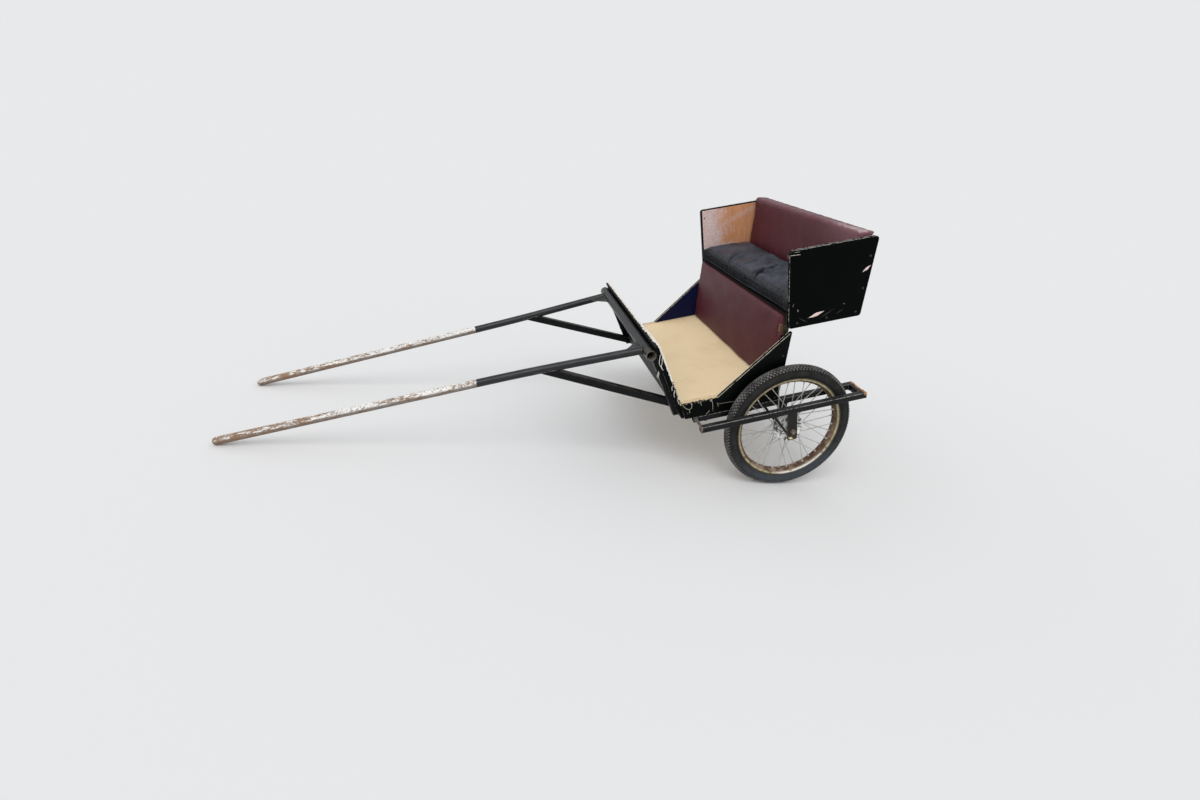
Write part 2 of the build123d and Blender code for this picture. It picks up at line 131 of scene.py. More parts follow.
class Wire:
    """A node's output, on which sums are written as they are in maths."""

    def __init__(self, finish, socket):
        self.finish = finish
        self.socket = socket

    def maths(self, operation, *values):
        return self.finish.node("Math", {"operation": operation}, dict(enumerate(values)))

    def __add__(self, other):
        return self.maths("ADD", self, other)

    __radd__ = __add__

    def __sub__(self, other):
        return self.maths("SUBTRACT", self, other)

    def __rsub__(self, other):
        return self.maths("SUBTRACT", other, self)

    def __mul__(self, other):
        return self.maths("MULTIPLY", self, other)

    __rmul__ = __mul__

    def __gt__(self, other):
        return self.maths("GREATER_THAN", self, other)

    def __abs__(self):
        return self.maths("ABSOLUTE", self)

    def least(self, other):
        return self.maths("MINIMUM", self, other)

    def most(self, other):
        return self.maths("MAXIMUM", self, other)

    def root(self):
        return self.maths("SQRT", self)

    def rise(self, low, high):
        """0 below one value, 1 above another, and smooth between them."""
        limits = {"Value": self, "From Min": low, "From Max": high}
        return self.finish.node("MapRange", {"interpolation_type": "SMOOTHSTEP"}, limits)

    def fall(self, low, high):
        """1 below one value, 0 above another, and smooth between them."""
        return 1 - self.rise(low, high)

    def tones(self, low, high, first, second):
        """One colour below a value, a second one above another, and their mix between them."""
        return self.finish.mix(self.rise(low, high), first, second)


class Finish:
    """One material, whose patterns read places on the level cart, and whose colours are laid in turn."""

    def __init__(self, name, gloss=0.5, metallic=0.0):
        self.material = bpy.data.materials.new(name)
        self.material.use_nodes = True
        self.tree = self.material.node_tree
        self.shader = self.tree.nodes["Principled BSDF"]
        self.shader.inputs["Specular IOR Level"].default_value = gloss
        self.shader.inputs["Metallic"].default_value = metallic
        self.colour = None
        where = self.node("TexCoord", output="Object")
        turn = {"Location": AXLE, "Rotation": (0, PITCH, 0)}
        self.place = self.node("Mapping", {"vector_type": "TEXTURE"}, {"Vector": where, **turn})
        self.x, self.y, self.z = (self.part_of(self.place, axis) for axis in "XYZ")

    def node(self, kind, settings=None, inputs=None, output=0):
        """Any node: its settings are set first, then its sockets' values or links."""
        node = self.tree.nodes.new("ShaderNode" + kind)
        for name, value in (settings or {}).items():
            setattr(node, name, value)
        for name, value in (inputs or {}).items():
            self.feed(node.inputs[name], value)
        return Wire(self, node.outputs[output])

    def feed(self, socket, value):
        """Links a wire to a socket, or sets the socket's own value."""
        if isinstance(value, Wire):
            self.tree.links.new(value.socket, socket)
        else:
            socket.default_value = value

    def part_of(self, vector, axis):
        """One of a vector's three numbers."""
        return self.node("SeparateXYZ", {}, {"Vector": vector}, axis)

    def clouds(self, size, detail, roughness, seed, place=None):
        """Soft noise about 0.5, with patches of about a size."""
        inputs = {
            "Vector": place or self.place, "W": seed, "Scale": 1 / size,
            "Detail": detail, "Roughness": roughness,
        }
        return self.node("TexNoise", {"noise_dimensions": "4D"}, inputs)

    def cells(self, size, seed):
        """Distances in a cell pattern of about a size."""
        inputs = {"Vector": self.place, "W": seed, "Scale": 1 / size}
        return self.node("TexVoronoi", {"voronoi_dimensions": "4D"}, inputs, "Distance")

    def mix(self, mask, low, high):
        """One colour where the mask is 0, and another where it is 1. Three numbers are a screen's colour."""
        low, high = (paint(*end) if isinstance(end, tuple) and len(end) == 3 else end for end in (low, high))
        return self.node("Mix", {"data_type": "RGBA"}, {0: mask, 6: low, 7: high}, 2)

    def lay(self, mask, tone):
        """Lays a colour over what is there, where the mask is 1."""
        self.colour = self.mix(mask, self.colour, tone)

    def stretched(self, x, y, z):
        """Places on the cart stretched along its axes, for streaks and grain."""
        scale = {0: self.place, 1: (x, y, z)}
        return self.node("VectorMath", {"operation": "MULTIPLY"}, scale)

    def worn_edges(self, reach):
        """About 1 on outer edges and 0 on flat faces."""
        rounded = self.node("Bevel", {"samples": 4}, {"Radius": reach})
        flat = self.node("NewGeometry", output="Normal")
        alike = self.node("VectorMath", {"operation": "DOT_PRODUCT"}, {0: rounded, 1: flat}, "Value")
        return (1 - alike).rise(0.004, 0.09)

    def facing(self, axis):
        """How far a surface faces along one of the world's axes, from -1 to 1."""
        return self.part_of(self.node("NewGeometry", output="Normal"), axis)

    def chip(self, start, end, width, ragged):
        """A chip of paint, pointed at two places of the side view, and 1 inside it."""
        middle = ((start[0] + end[0]) / 2, (start[1] + end[1]) / 2)
        half = hypot(end[0] - start[0], end[1] - start[1]) / 2
        along = ((end[0] - start[0]) / (2 * half), (end[1] - start[1]) / (2 * half))
        off_x, off_z = self.x - middle[0], self.z - middle[1]
        length_share = abs(off_x * (along[0] / half) + off_z * (along[1] / half))
        width_share = abs(off_z * (along[0] / width) - off_x * (along[1] / width))
        return 1 - (length_share + width_share + ragged).rise(0.9, 1.0)

    def close(self, roughness, height, depth):
        """Joins the finished colour, roughness and bump to the shader."""
        bump = self.node("Bump", {}, {"Height": height, "Distance": depth}, "Normal")
        for name, value in (("Base Color", self.colour), ("Roughness", roughness), ("Normal", bump)):
            self.feed(self.shader.inputs[name], value)
        return self.material


def frame_black(name="frame_black", gloss=0.2, dusty=0.42):
    """Black enamel on the steel frame: dusty above, streaked, chipped to pale lines on its edges; the pale line
    along the rails' top edges is partly a painted highlight, and the crossbar's open ends hold painted light
    inside.
    """
    finish = Finish(name, gloss)
    upward = finish.facing("Z").rise(0.15, 0.95)
    dust = finish.clouds(0.028, 6, 0.7, 1)
    streak = finish.clouds(0.008, 4, 0.62, 2, place=finish.stretched(0.12, 1, 1))
    grime = (dust * 0.55 + streak * 0.5).rise(0.36, 0.72)
    black = finish.mix(grime * (upward * dusty + 0.06), (8, 9, 11), (84, 86, 89))
    chips = finish.clouds(0.0075, 6, 0.75, 3)
    strut = finish.x.rise(0.5, 0.53) * finish.z.fall(0.372, 0.376)
    black = finish.mix(strut * upward * dust.rise(0.4, 0.65) * 0.55, black, (70, 58, 45))
    # The pale line along the rails' top edges is partly chipped paint and partly a painted highlight on the edge.
    rail_top = finish.z.rise(RAIL_TOP - 0.003, RAIL_TOP - 0.0018)
    rail_top = rail_top * finish.z.fall(RAIL_TOP + 0.001, RAIL_TOP + 0.002)
    line = rail_top * 0
    for middle in (INNER_RAIL_Y, OUTER_RAIL_Y):
        off = abs(abs(finish.y) - middle)
        line = line.most(rail_top * off.rise(0.0102, 0.0114) * off.fall(0.0135, 0.014))
    wear = (finish.worn_edges(0.0028) * 0.5 + chips).rise(0.86, 0.98)
    wear = wear.most(line * chips.rise(0.38, 0.52) * 0.8)
    rust = (finish.clouds(0.018, 6, 0.72, 4) + finish.clouds(0.16, 2, 0.5, 5) * 0.3).rise(0.8, 0.86)
    worn = finish.mix(wear * 0.8, black, chips.tones(0.4, 0.6, (112, 110, 106), (176, 174, 168)))
    brown = streak.tones(0.35, 0.65, (58, 44, 34), (104, 84, 58))
    finish.colour = finish.mix(rust * 0.7, worn, brown)
    ends = abs(finish.y).rise(0.395, 0.435) * finish.z.rise(0.372, 0.378) * chips.rise(0.42, 0.56)
    ends = ends * abs(finish.y).fall(CROSSBAR_HALF - 0.0006, CROSSBAR_HALF - 0.0003)
    finish.lay(ends * 0.55, (98, 82, 54))
    low_front = finish.x.rise(0.364, 0.366) * finish.z.fall(0.125, 0.13) * finish.x.fall(0.385, 0.387)
    rod = low_front * (1 - abs(abs(finish.y) - WHEEL_Y).rise(0.0315, 0.032))
    finish.lay(rod * 0.85, chips.tones(0.4, 0.6, (72, 70, 70), (132, 130, 128)))
    pink = low_front * (finish.x + (dust - 0.5) * 0.03).rise(0.371, 0.379) * abs(finish.y).rise(0.534, 0.5355)
    finish.lay(pink * 0.85, chips.tones(0.45, 0.6, (104, 86, 82), (160, 140, 134)))
    orange = (1 - (finish.x + (dust - 0.5) * 0.016).rise(-0.303, -0.296)) * finish.z.rise(0.098, 0.103)
    orange = orange * (chips + orange * 0.2).rise(0.54, 0.66) * finish.z.fall(0.112, 0.114)
    tint = chips.tones(0.45, 0.7, (186, 112, 52), (216, 176, 124))
    finish.lay(orange * 0.9, tint)
    # Painted light: pale grey inside the crossbar's open ends, standing for a lit inner wall.
    off_x, off_z = finish.x - CROSSBAR_X, finish.z - CROSSBAR_Z
    painted_bore_light = (1 - (off_x * off_x + off_z * off_z).root().rise(0.0182, 0.0186)) * abs(finish.y).rise(0.38, 0.44)
    finish.lay(painted_bore_light * 0.9, chips.tones(0.4, 0.6, (104, 98, 88), (160, 154, 142)))
    height = finish.clouds(0.004, 3, 0.5, 6) - rust * 0.5 - wear * 0.35
    return finish.close(0.34 + grime * upward * 0.25 + rust * 0.25, height, 0.0006)


def plate_black():
    """The axle plates: the frame's black, brown with rust towards their feet, pale where chipped."""
    finish = Finish("plate_black", 0.3)
    low = finish.z.fall(-0.035, 0.05)
    fine = finish.clouds(0.005, 5, 0.7, 8)
    rust = (finish.clouds(0.014, 6, 0.7, 7) + low * 0.22).rise(0.56, 0.76)
    wear = (finish.worn_edges(0.002) * 0.5 + fine).rise(0.86, 1.0)
    rusty = fine.tones(0.35, 0.65, (38, 30, 26), (84, 66, 54))
    finish.colour = finish.mix(rust, (13, 13, 14), rusty)
    finish.lay(wear * 0.6, (146, 126, 98))
    foot = finish.chip((-0.004, -0.036), (0.018, -0.026), 0.006, (fine - 0.5) * 2.2)
    finish.lay(foot, (226, 212, 160))
    return finish.close(0.5 + rust * 0.3, fine + rust * 0.5, 0.0006)


WHITE_FROM_X = 1.19
TAPE_LENGTH = 0.058
TAPE_FROM_X = WHITE_FROM_X - TAPE_LENGTH
PAINT_LINE = 0.0015


def shaft_white():
    """Satin black shafts with a taped end, dusty and with a painted sheen on top, whose front stretches are white
    and streaked with rust and darkened by painted shade underneath.
    """
    finish = Finish("shaft_white", 0.45)
    ragged = finish.x + (finish.clouds(0.02, 6, 0.7, 10) - 0.5) * 0.012
    white = ragged.rise(WHITE_FROM_X - PAINT_LINE, WHITE_FROM_X + PAINT_LINE)
    taped = ragged.rise(TAPE_FROM_X - PAINT_LINE, TAPE_FROM_X + PAINT_LINE) * (1 - white)
    along = finish.stretched(0.16, 1, 1)
    dust = finish.clouds(0.012, 6, 0.65, 11, place=along)
    fine = finish.clouds(0.0045, 5, 0.7, 12)
    upward = finish.facing("Z").rise(-0.2, 1.0)
    # The black is lighter on top, partly with dust and partly with a painted sheen.
    black = finish.mix(dust.rise(0.38, 0.7) * (upward * 0.5 + 0.05), (11, 12, 15), (74, 76, 80))
    black = finish.mix((fine + dust * 0.3).rise(0.83, 0.88) * (1 - taped), black, (118, 96, 82))
    black = finish.mix(taped * 0.8, black, (19, 20, 26))
    front = (finish.x - 1.55).rise(0.0, 0.6)
    streak = finish.clouds(0.0095, 7, 0.78, 13, place=finish.stretched(0.3, 1, 1))
    patch = finish.clouds(0.05, 6, 0.65, 14, place=finish.stretched(0.4, 1, 1))
    bare = (streak * 0.7 + fine * 0.15 + patch * 0.3 + front * 0.05).rise(0.575, 0.64)
    stain = (streak * 0.5 + patch * 0.55 + front * 0.08).rise(0.52, 0.72)
    rust = fine.tones(0.35, 0.65, (112, 78, 52), (172, 134, 98))
    cream = finish.mix(stain * 0.55, (240, 237, 233), (216, 194, 168))
    # Painted shade: the white paint darkens to brown-grey on the shafts' undersides.
    cream = finish.mix((1 - upward).rise(0.5, 1.0) * 0.85, cream, (94, 80, 68))
    dark = (fine * 0.8 + streak * 0.3).rise(0.57, 0.61)
    painted = finish.mix(dark * 0.75, finish.mix(bare * 0.9, cream, rust), (78, 64, 52))
    finish.colour = finish.mix(white, black, painted)
    rough = 0.34 + white * 0.26 + dust * 0.1
    height = (1 - bare) * white * 0.8 + taped * 0.7 + fine * 0.3
    return finish.close(rough, height, 0.0007)


def panel_layers(finish, inner=None, inner_mask=None, inner_rough=0.5):
    """The black paint of every panel, with another finish on its inner face if one is given."""
    haze = finish.clouds(0.08, 6, 0.66, 16).rise(0.45, 0.8)
    scuff = finish.clouds(0.016, 6, 0.74, 17, place=finish.stretched(1, 1, 0.3)).rise(0.66, 0.72)
    ragged = finish.clouds(0.0065, 5, 0.72, 18)
    wear = (finish.worn_edges(0.003) * (finish.y.rise(-0.2, 0.2) * 0.22 + 0.15) + ragged).rise(0.84, 0.95)
    black = finish.mix(haze * 0.35, (2, 4, 4), (12, 15, 15))
    black = finish.mix(scuff * 0.35, black, (46, 48, 48))
    rough = 0.42 + haze * 0.2
    if inner is not None:
        black = finish.mix(inner_mask, black, inner)
        rough = finish.node("Mix", {}, {0: inner_mask, 2: rough, 3: inner_rough})
    pale = ragged.tones(0.4, 0.6, (84, 80, 76), (182, 176, 170))
    finish.colour = finish.mix(wear * 0.85, black, pale)
    height = finish.clouds(0.0035, 3, 0.55, 19) * 0.5 - wear * 0.5 - scuff * 0.15
    return finish, rough, height


def side_black():
    """Footwell sides and the seat's back board: black outside, navy inside."""
    finish = Finish("side_black", 0.08)
    inside = abs(finish.y).fall(SIDE_INNER_Y + 0.0003, SIDE_INNER_Y + 0.0006)
    inside = inside * finish.x.rise(-0.2, -0.19)
    dust = finish.clouds(0.05, 6, 0.65, 20).rise(0.4, 0.8)
    navy = finish.mix(dust * 0.5, (16, 20, 56), (36, 41, 76))
    finish, rough, height = panel_layers(finish, navy, inside)
    joint = finish.z - 0.1475 - (finish.clouds(0.05, 3, 0.5, 21) - 0.5) * 0.012 - (finish.x - 0.24) * 0.04
    crack = abs(joint).fall(0.0006, 0.0018) * (1 - inside)
    crack = crack * finish.x.rise(0.19, 0.22) * finish.x.fall(0.27, 0.29)
    finish.lay(crack * 0.8, (150, 140, 130))
    return finish.close(rough, height - crack, 0.0006)


def arm_black():
    """Seat ends: black outside with chips, varnished plywood inside that blooms white in front."""
    finish = Finish("arm_black", 0.04)
    inside = abs(finish.y).fall(ARM_INNER_Y + 0.0003, ARM_INNER_Y + 0.0006)
    brushed = (finish.clouds(0.006, 5, 0.7, 71) - 0.5) * 0.003
    inside = inside * (1 - (finish.x + brushed).rise(ARM_FRONT_X - 0.0072, ARM_FRONT_X - 0.0064))
    inside = inside * (1 - (finish.z + brushed).rise(ARM_TOP - 0.0052, ARM_TOP - 0.0044))
    grain = finish.clouds(0.005, 6, 0.66, 22, place=finish.stretched(1, 1, 0.07))
    figure = finish.clouds(0.05, 4, 0.6, 23, place=finish.stretched(1, 1, 0.22))
    varnish = grain.tones(0.25, 0.75, (200, 136, 94), (226, 170, 130))
    varnish = finish.mix(figure.rise(0.42, 0.75) * 0.5, varnish, (184, 118, 78))
    green = 1 - (finish.x + (finish.clouds(0.02, 4, 0.6, 24) - 0.5) * 0.03).rise(-0.325, -0.295)
    varnish = finish.mix(green * 0.7, varnish, (96, 80, 44))
    wander = (finish.clouds(0.07, 6, 0.7, 25) - 0.5) * 0.22
    fine = finish.clouds(0.008, 8, 0.8, 26)
    front = (finish.x + wander).rise(-0.25, -0.03)
    below = (finish.x + wander - (finish.z - 0.6) * 1.2).rise(-0.2, 0.03)
    lean = finish.z - 0.635 + (finish.x + 0.15) * 0.3 + wander * 0.12
    band = abs(lean).fall(0.004, 0.04) * (1 - (finish.x + wander).rise(-0.02, 0.05))
    second = (1 - abs(lean + 0.062).rise(0.002, 0.022)) * (finish.x + wander).rise(-0.26, -0.16)
    cover = front.most(below * 0.9).most(band * 0.55).most(second * 0.5)
    bloom = (cover * 0.58 + fine * 0.85).rise(0.6, 0.98)
    white = finish.mix(finish.clouds(0.006, 5, 0.7, 27).rise(0.3, 0.7), (206, 176, 172), (240, 228, 230))
    wood = finish.mix(bloom * 0.88, varnish, white)
    far = finish.y.fall(-0.1, 0.1)
    # Painted shade: a dark spot for the shade inside a small hole on the far seat end's inner face.
    hole_shade = finish.chip((-0.033, 0.664), (-0.024, 0.672), 0.0035, (fine - 0.5) * 1.5) * far
    wood = finish.mix(hole_shade, wood, (52, 40, 44))
    finish, rough, height = panel_layers(finish, wood, inside, 0.58)
    outside = (1 - inside) * finish.y.rise(0, 0.1)
    ragged = (fine - 0.5) * 1.1
    nibbled = (finish.clouds(0.0028, 4, 0.75, 70) - 0.5) * 2.4
    for start, end, width, tint in (
        # both points in x and z, half width, colour
        ((-0.336, 0.606), (-0.3, 0.582), 0.0058, (226, 208, 204)),
        ((-0.158, 0.46), (-0.086, 0.4415), 0.0075, (228, 206, 198)),
        ((-0.24, 0.47), (-0.229, 0.4745), 0.0024, (96, 96, 94)),
        ((-0.311, 0.517), (-0.306, 0.524), 0.0034, (176, 170, 166)),
        ((-0.031, 0.512), (-0.025, 0.496), 0.003, (84, 82, 80)),
        ((-0.046, 0.486), (-0.048, 0.474), 0.0022, (170, 168, 164)),
    ):
        chip = finish.chip(start, end, width, ragged if width > 0.004 else nibbled) * outside
        finish.lay(chip, tint)
        height = height - chip * 0.8
    for start, end in (
        # both points of a scratch in x and z
        ((-0.13, 0.43), (-0.2, 0.462)), ((-0.2, 0.436), (-0.235, 0.452)), ((-0.05, 0.45), (-0.09, 0.424)),
    ):
        scratch = finish.chip(start, end, 0.0016, nibbled) * outside
        finish.lay(scratch * 0.5, (86, 88, 88))
    return finish.close(rough, height, 0.0006)


def vinyl_share(finish):
    """How full the dash's vinyl is, from its far end to its near end."""
    return finish.y.rise(0.05, 0.36)


def dash_black():
    """The dash: black vinyl over board, worn to its pale backing along the rear edge."""
    finish = Finish("dash_black", 0.06)
    ragged = finish.clouds(0.01, 6, 0.72, 28)
    behind = finish.x - (FLOOR_FRONT_X - FLOOR_TOP * DASH_SLOPE) - finish.z * DASH_SLOPE
    wander = (ragged - 0.5) * 0.014
    rear_edge = 1 - (behind + wander + vinyl_share(finish) * 0.006).rise(0.003, 0.004)
    top = (finish.z + wander * 0.5).rise(DASH_TOP - 0.006, DASH_TOP - 0.005)
    side = (abs(finish.y) + wander * 0.5).rise(DASH_HALF_WIDTH - 0.006, DASH_HALF_WIDTH - 0.005)
    low = finish.z.fall(0.275, 0.3)
    worn = rear_edge * top.most(side * (ragged + 0.2 - low * 0.16).rise(0.5, 0.6))
    black = finish.mix(ragged.rise(0.45, 0.8) * 0.4, (5, 6, 7), (26, 27, 29))
    pale = finish.mix(finish.clouds(0.005, 5, 0.7, 29).rise(0.3, 0.55), (196, 184, 164), (246, 241, 230))
    finish.colour = finish.mix(worn, black, pale)
    grain = finish.cells(0.0022, 30)
    return finish.close(0.46 + worn * 0.3, grain * 0.4 + ragged * 0.5 - worn, 0.0006)


def floor_pale():
    """The footwell's pale sheet, darker along its sides and ends and in patches, and freckled."""
    finish = Finish("floor_pale", 0.2)
    dirt = finish.clouds(0.14, 6, 0.68, 31).rise(0.42, 0.8)
    fine = finish.clouds(0.006, 5, 0.72, 32)
    # Darker near the footwell's sides and ends, and in cloudy patches.
    edge = abs(finish.y).rise(0.4, 0.455).most(finish.x.fall(0.05, 0.068)).most(finish.x.rise(0.4, 0.435))
    grime = (edge * 0.45 + finish.clouds(0.035, 7, 0.72, 33) * 0.8).rise(0.62, 0.95)
    finish.colour = finish.mix(dirt * 0.6, (243, 219, 179), (224, 194, 150))
    finish.lay(grime * 0.4, (168, 138, 100))
    finish.lay(fine.rise(0.66, 0.72) * 0.45, (128, 106, 80))
    return finish.close(0.62, fine * 0.6 + finish.clouds(0.03, 3, 0.5, 34), 0.0004)


def vinyl(name, dark, light, seed, bloom):
    """Soft vinyl with leather grain, rubbed paler in patches."""
    finish = Finish(name, 0.24)
    grain = finish.cells(0.0016, seed)
    streak = finish.clouds(0.016, 5, 0.66, seed + 20, place=finish.stretched(1, 1, 0.12))
    rubbed = finish.clouds(0.09, 6, 0.66, seed + 1).rise(0.4, 0.78)
    fine = finish.clouds(0.01, 6, 0.7, seed + 2)
    finish.colour = finish.mix(rubbed * 0.5 + streak.rise(0.4, 0.7) * 0.25, dark, light)
    finish.lay(fine.rise(0.6, 0.74) * bloom, (156, 126, 130))
    height = grain * 0.25 + finish.clouds(0.035, 4, 0.5, seed + 3) * 1.5
    return finish, 0.46 + rubbed * 0.14, height


def maroon_vinyl():
    """Maroon vinyl, with pale dusty flecks and a painted pinkish highlight along the rolled top of the back,
    lighter still towards its near top.
    """
    finish, rough, height = vinyl("maroon_vinyl", (80, 34, 43), (103, 51, 61), 35, 0.14)
    # The rolled top and the near top are made lighter pink, partly as dust and partly as a painted highlight.
    rolled = finish.z.rise(BACK_PAD_TOP - 0.01, BACK_PAD_TOP + 0.004)
    fleck = finish.clouds(0.009, 7, 0.78, 39)
    finish.lay(rolled * (0.1 + fleck * 0.5), (122, 80, 88))
    near = finish.y.rise(0.12, 0.42)
    finish.lay(near * finish.z.rise(0.6, 0.72) * (fleck * 0.5 + 0.1), (150, 112, 120))
    dusty = (rolled * (0.2 + near * 0.17) + fleck * 0.85).rise(0.68, 0.78) * rolled
    finish.lay(dusty * 0.7, (192, 172, 172))
    specks = fleck.rise(0.66, 0.69) * near * finish.z.rise(0.64, 0.7)
    finish.lay(specks * 0.8, (206, 200, 196))
    return finish.close(rough, height, 0.0005)


def cushion_black():
    """The cushion's bluish black cover: a painted sheen on its top, painted shade in its creases, seam and
    gathers, darkest under its front edge, and dull in its gathers.
    """
    finish = Finish("cushion_black", 0.2)
    band = finish.x.rise(-0.03, -0.01) * (1 - finish.facing("Z").rise(0.25, 0.75))
    rubbed = finish.clouds(0.1, 6, 0.66, 40).rise(0.38, 0.78)
    # Painted sheen: lighter and bluish on the top in rubbed patches, darker on the front and sides.
    upward = finish.facing("Z").rise(0.2, 0.9)
    finish.colour = finish.mix((rubbed * 0.6 + 0.3) * (upward * 0.72 + 0.28), (6, 7, 8), (84, 89, 102))
    lint = finish.clouds(0.004, 6, 0.74, 41).rise(0.7, 0.74)
    finish.lay(lint * 0.3, (110, 112, 114))
    # Painted shade: near black low on the cover, next to the board under its front edge.
    under = finish.z.fall(SEAT_BOARD_TOP + 0.004, SEAT_BOARD_TOP + 0.015)
    finish.lay(under * 0.8, (6, 6, 7))
    # Painted shade in the creases, seam and gathers, from the shading stored on the mesh.
    fold_shade = finish.node("Attribute", {"attribute_name": "crease"}, output="Fac").rise(0.15, 0.85)
    finish.lay(fold_shade * 0.85, (6, 6, 8))
    creases = finish.clouds(0.018, 6, 0.62, 42, place=finish.stretched(0.35, 1, 1))
    weave = finish.cells(0.0012, 43)
    return finish.close(0.38 + rubbed * 0.14 + band * 0.35, creases + weave * 0.06, 0.0046)


def wheel_radius(finish):
    """The distance from the axle's line."""
    return (finish.x * finish.x + finish.z * finish.z).root()


def tyre_rubber():
    """Black rubber: dark between its blocks, ringed on its walls, blue-grey with dust low down."""
    finish = Finish("tyre_rubber", 0.25)
    radius = wheel_radius(finish)
    dust = finish.clouds(0.035, 7, 0.7, 44)
    fine = finish.clouds(0.004, 5, 0.68, 45)
    low = finish.z.fall(-0.25, -0.02)
    wall = radius.fall(0.254, 0.26)
    ring = finish.clouds(0.0035, 3, 0.5, 46, place=finish.node("CombineXYZ", {}, {0: radius}))
    shade = (dust * 0.6 + fine * 0.25 + ring * 0.35 * wall + low * 0.2).rise(0.42, 0.86)
    finish.colour = finish.mix(shade, (13, 13, 14), finish.mix(low, (52, 51, 49), (64, 69, 75)))
    finish.lay(1 - wall, finish.mix(dust.rise(0.35, 0.7) * 0.5, (14, 14, 15), (44, 43, 42)))
    return finish.close(0.8, fine * 0.4 + ring * wall * 0.8, 0.0005)


def tread_dusty():
    """The tread's blocks: rubber whose tops are pale with dried dirt."""
    finish = Finish("tread_dusty", 0.25)
    dust = finish.clouds(0.03, 6, 0.7, 47)
    fine = finish.clouds(0.0035, 5, 0.7, 48)
    edge = finish.worn_edges(0.0014)
    finish.colour = finish.mix((dust * 0.6 + fine * 0.4).rise(0.38, 0.64), (38, 38, 39), (122, 120, 116))
    finish.lay(edge * 0.5, (152, 150, 145))
    return finish.close(0.85, fine, 0.0004)


def rim_rusty():
    """A cream ring of rim paint between a dark band at the tyre and a brown well, rusty and pinkish low down."""
    finish = Finish("rim_rusty", 0.3)
    radius = wheel_radius(finish)
    patch = finish.clouds(0.018, 8, 0.72, 49)
    fine = finish.clouds(0.004, 5, 0.7, 50)
    low = finish.z.fall(-0.15, 0.02)
    dark_by_tyre = radius.rise(0.2166, 0.218)
    well = radius.fall(0.2096, 0.2108)
    cream = patch.tones(0.3, 0.65, (190, 180, 146), (132, 118, 84))
    bright = finish.z.fall(-0.205, -0.1) * (1 - (finish.x + patch * 0.1).rise(0.06, 0.14))
    cream = finish.mix(bright * (patch + 0.3).rise(0.5, 0.8), cream, (232, 225, 214))
    bare = (patch * 0.7 + fine * 0.3 + low * 0.06).rise(0.56, 0.64)
    finish.colour = finish.mix(bare * 0.85, cream, fine.tones(0.35, 0.65, (70, 50, 38), (118, 90, 66)))
    brown = patch.tones(0.35, 0.65, (62, 50, 38), (108, 88, 66))
    blotch = finish.clouds(0.035, 7, 0.7, 69)
    pinkish = blotch.tones(0.45, 0.62, (88, 64, 50), (150, 128, 112))
    finish.lay(well, finish.mix(low, brown, pinkish))
    # Dark on the flange's outer band next to the tyre.
    finish.lay(dark_by_tyre * 0.9, finish.mix(fine.rise(0.4, 0.65) * 0.4, (32, 31, 29), (74, 68, 58)))
    return finish.close(0.5 + well * 0.2 + bare * 0.1, fine - bare * 0.5, 0.0004)


def flaked(finish):
    """The colour of white paint that flakes to a grey-green skin, and where it is gone."""
    flake = finish.clouds(0.02, 8, 0.74, 53)
    fine = finish.clouds(0.004, 5, 0.7, 54)
    bare = (flake * 0.8 + fine * 0.25).rise(0.53, 0.565)
    under = fine.tones(0.35, 0.65, (40, 42, 36), (104, 104, 94))
    white = flake.tones(0.25, 0.5, (252, 252, 250), (234, 235, 234))
    return finish.mix(bare, white, under), bare


def spoke_metal():
    """Dull plated spokes freckled with rust, and the drum's flaking paint."""
    finish = Finish("spoke_metal", metallic=0.2)
    patch = finish.clouds(0.012, 6, 0.72, 51).rise(0.48, 0.66)
    finish.colour = finish.mix(patch * 0.5, (186, 184, 178), (104, 88, 72))
    drum = (1 - wheel_radius(finish).rise(0.0612, 0.062)) * (abs(finish.y) - WHEEL_Y).rise(-0.015, -0.0145)
    finish.lay(drum, flaked(finish)[0])
    return finish.close(0.48 + patch * 0.2 + drum * 0.1, finish.clouds(0.003, 4, 0.6, 52), 0.0003)


def flaking_white():
    """The drum cover's flaking white paint."""
    finish = Finish("flaking_white", 0.25)
    finish.colour, bare = flaked(finish)
    return finish.close(0.6, (1 - bare) + finish.clouds(0.004, 3, 0.6, 68) * 0.3, 0.001)


def dull_steel():
    """Axle ends and nuts: dull steel, greyish pink with old paint."""
    finish = Finish("dull_steel", metallic=0.35)
    patch = finish.clouds(0.007, 6, 0.72, 55).rise(0.42, 0.62)
    finish.colour = finish.mix(patch, (140, 126, 116), (74, 58, 48))
    return finish.close(0.5 + patch * 0.25, finish.clouds(0.002, 4, 0.6, 56), 0.0003)


def dark_timber():
    """The frame timber under the seat and floor, stained dark, with painted shade near black along the top of the
    seat board under the cushion.
    """
    finish = Finish("dark_timber", 0.2)
    grain = finish.clouds(0.005, 6, 0.68, 57, place=finish.stretched(1, 0.05, 1))
    stain = finish.clouds(0.05, 5, 0.65, 58)
    finish.colour = grain.tones(0.3, 0.7, (38, 30, 24), (76, 61, 46))
    finish.lay(stain.rise(0.5, 0.75) * 0.6, (28, 25, 22))
    # Painted shade: near black along the top of the seat board, under the cushion.
    finish.lay(finish.z.rise(SEAT_BOARD_TOP - 0.014, SEAT_BOARD_TOP - 0.004) * 0.85, (8, 8, 8))
    return finish.close(0.75, grain, 0.0006)


def plain_material(name, colour, roughness, seed, size=0.003):
    """A small piece's finish: one colour, mottled and slightly rough."""
    finish = Finish(name)
    mottle = finish.clouds(size, 5, 0.65, seed)
    light = paint(*colour)
    finish.colour = mottle.tones(0.3, 0.75, light, tuple(part * 0.6 for part in light[:3]) + (1.0,))
    return finish.close(roughness, mottle, 0.0003)


# Modelling

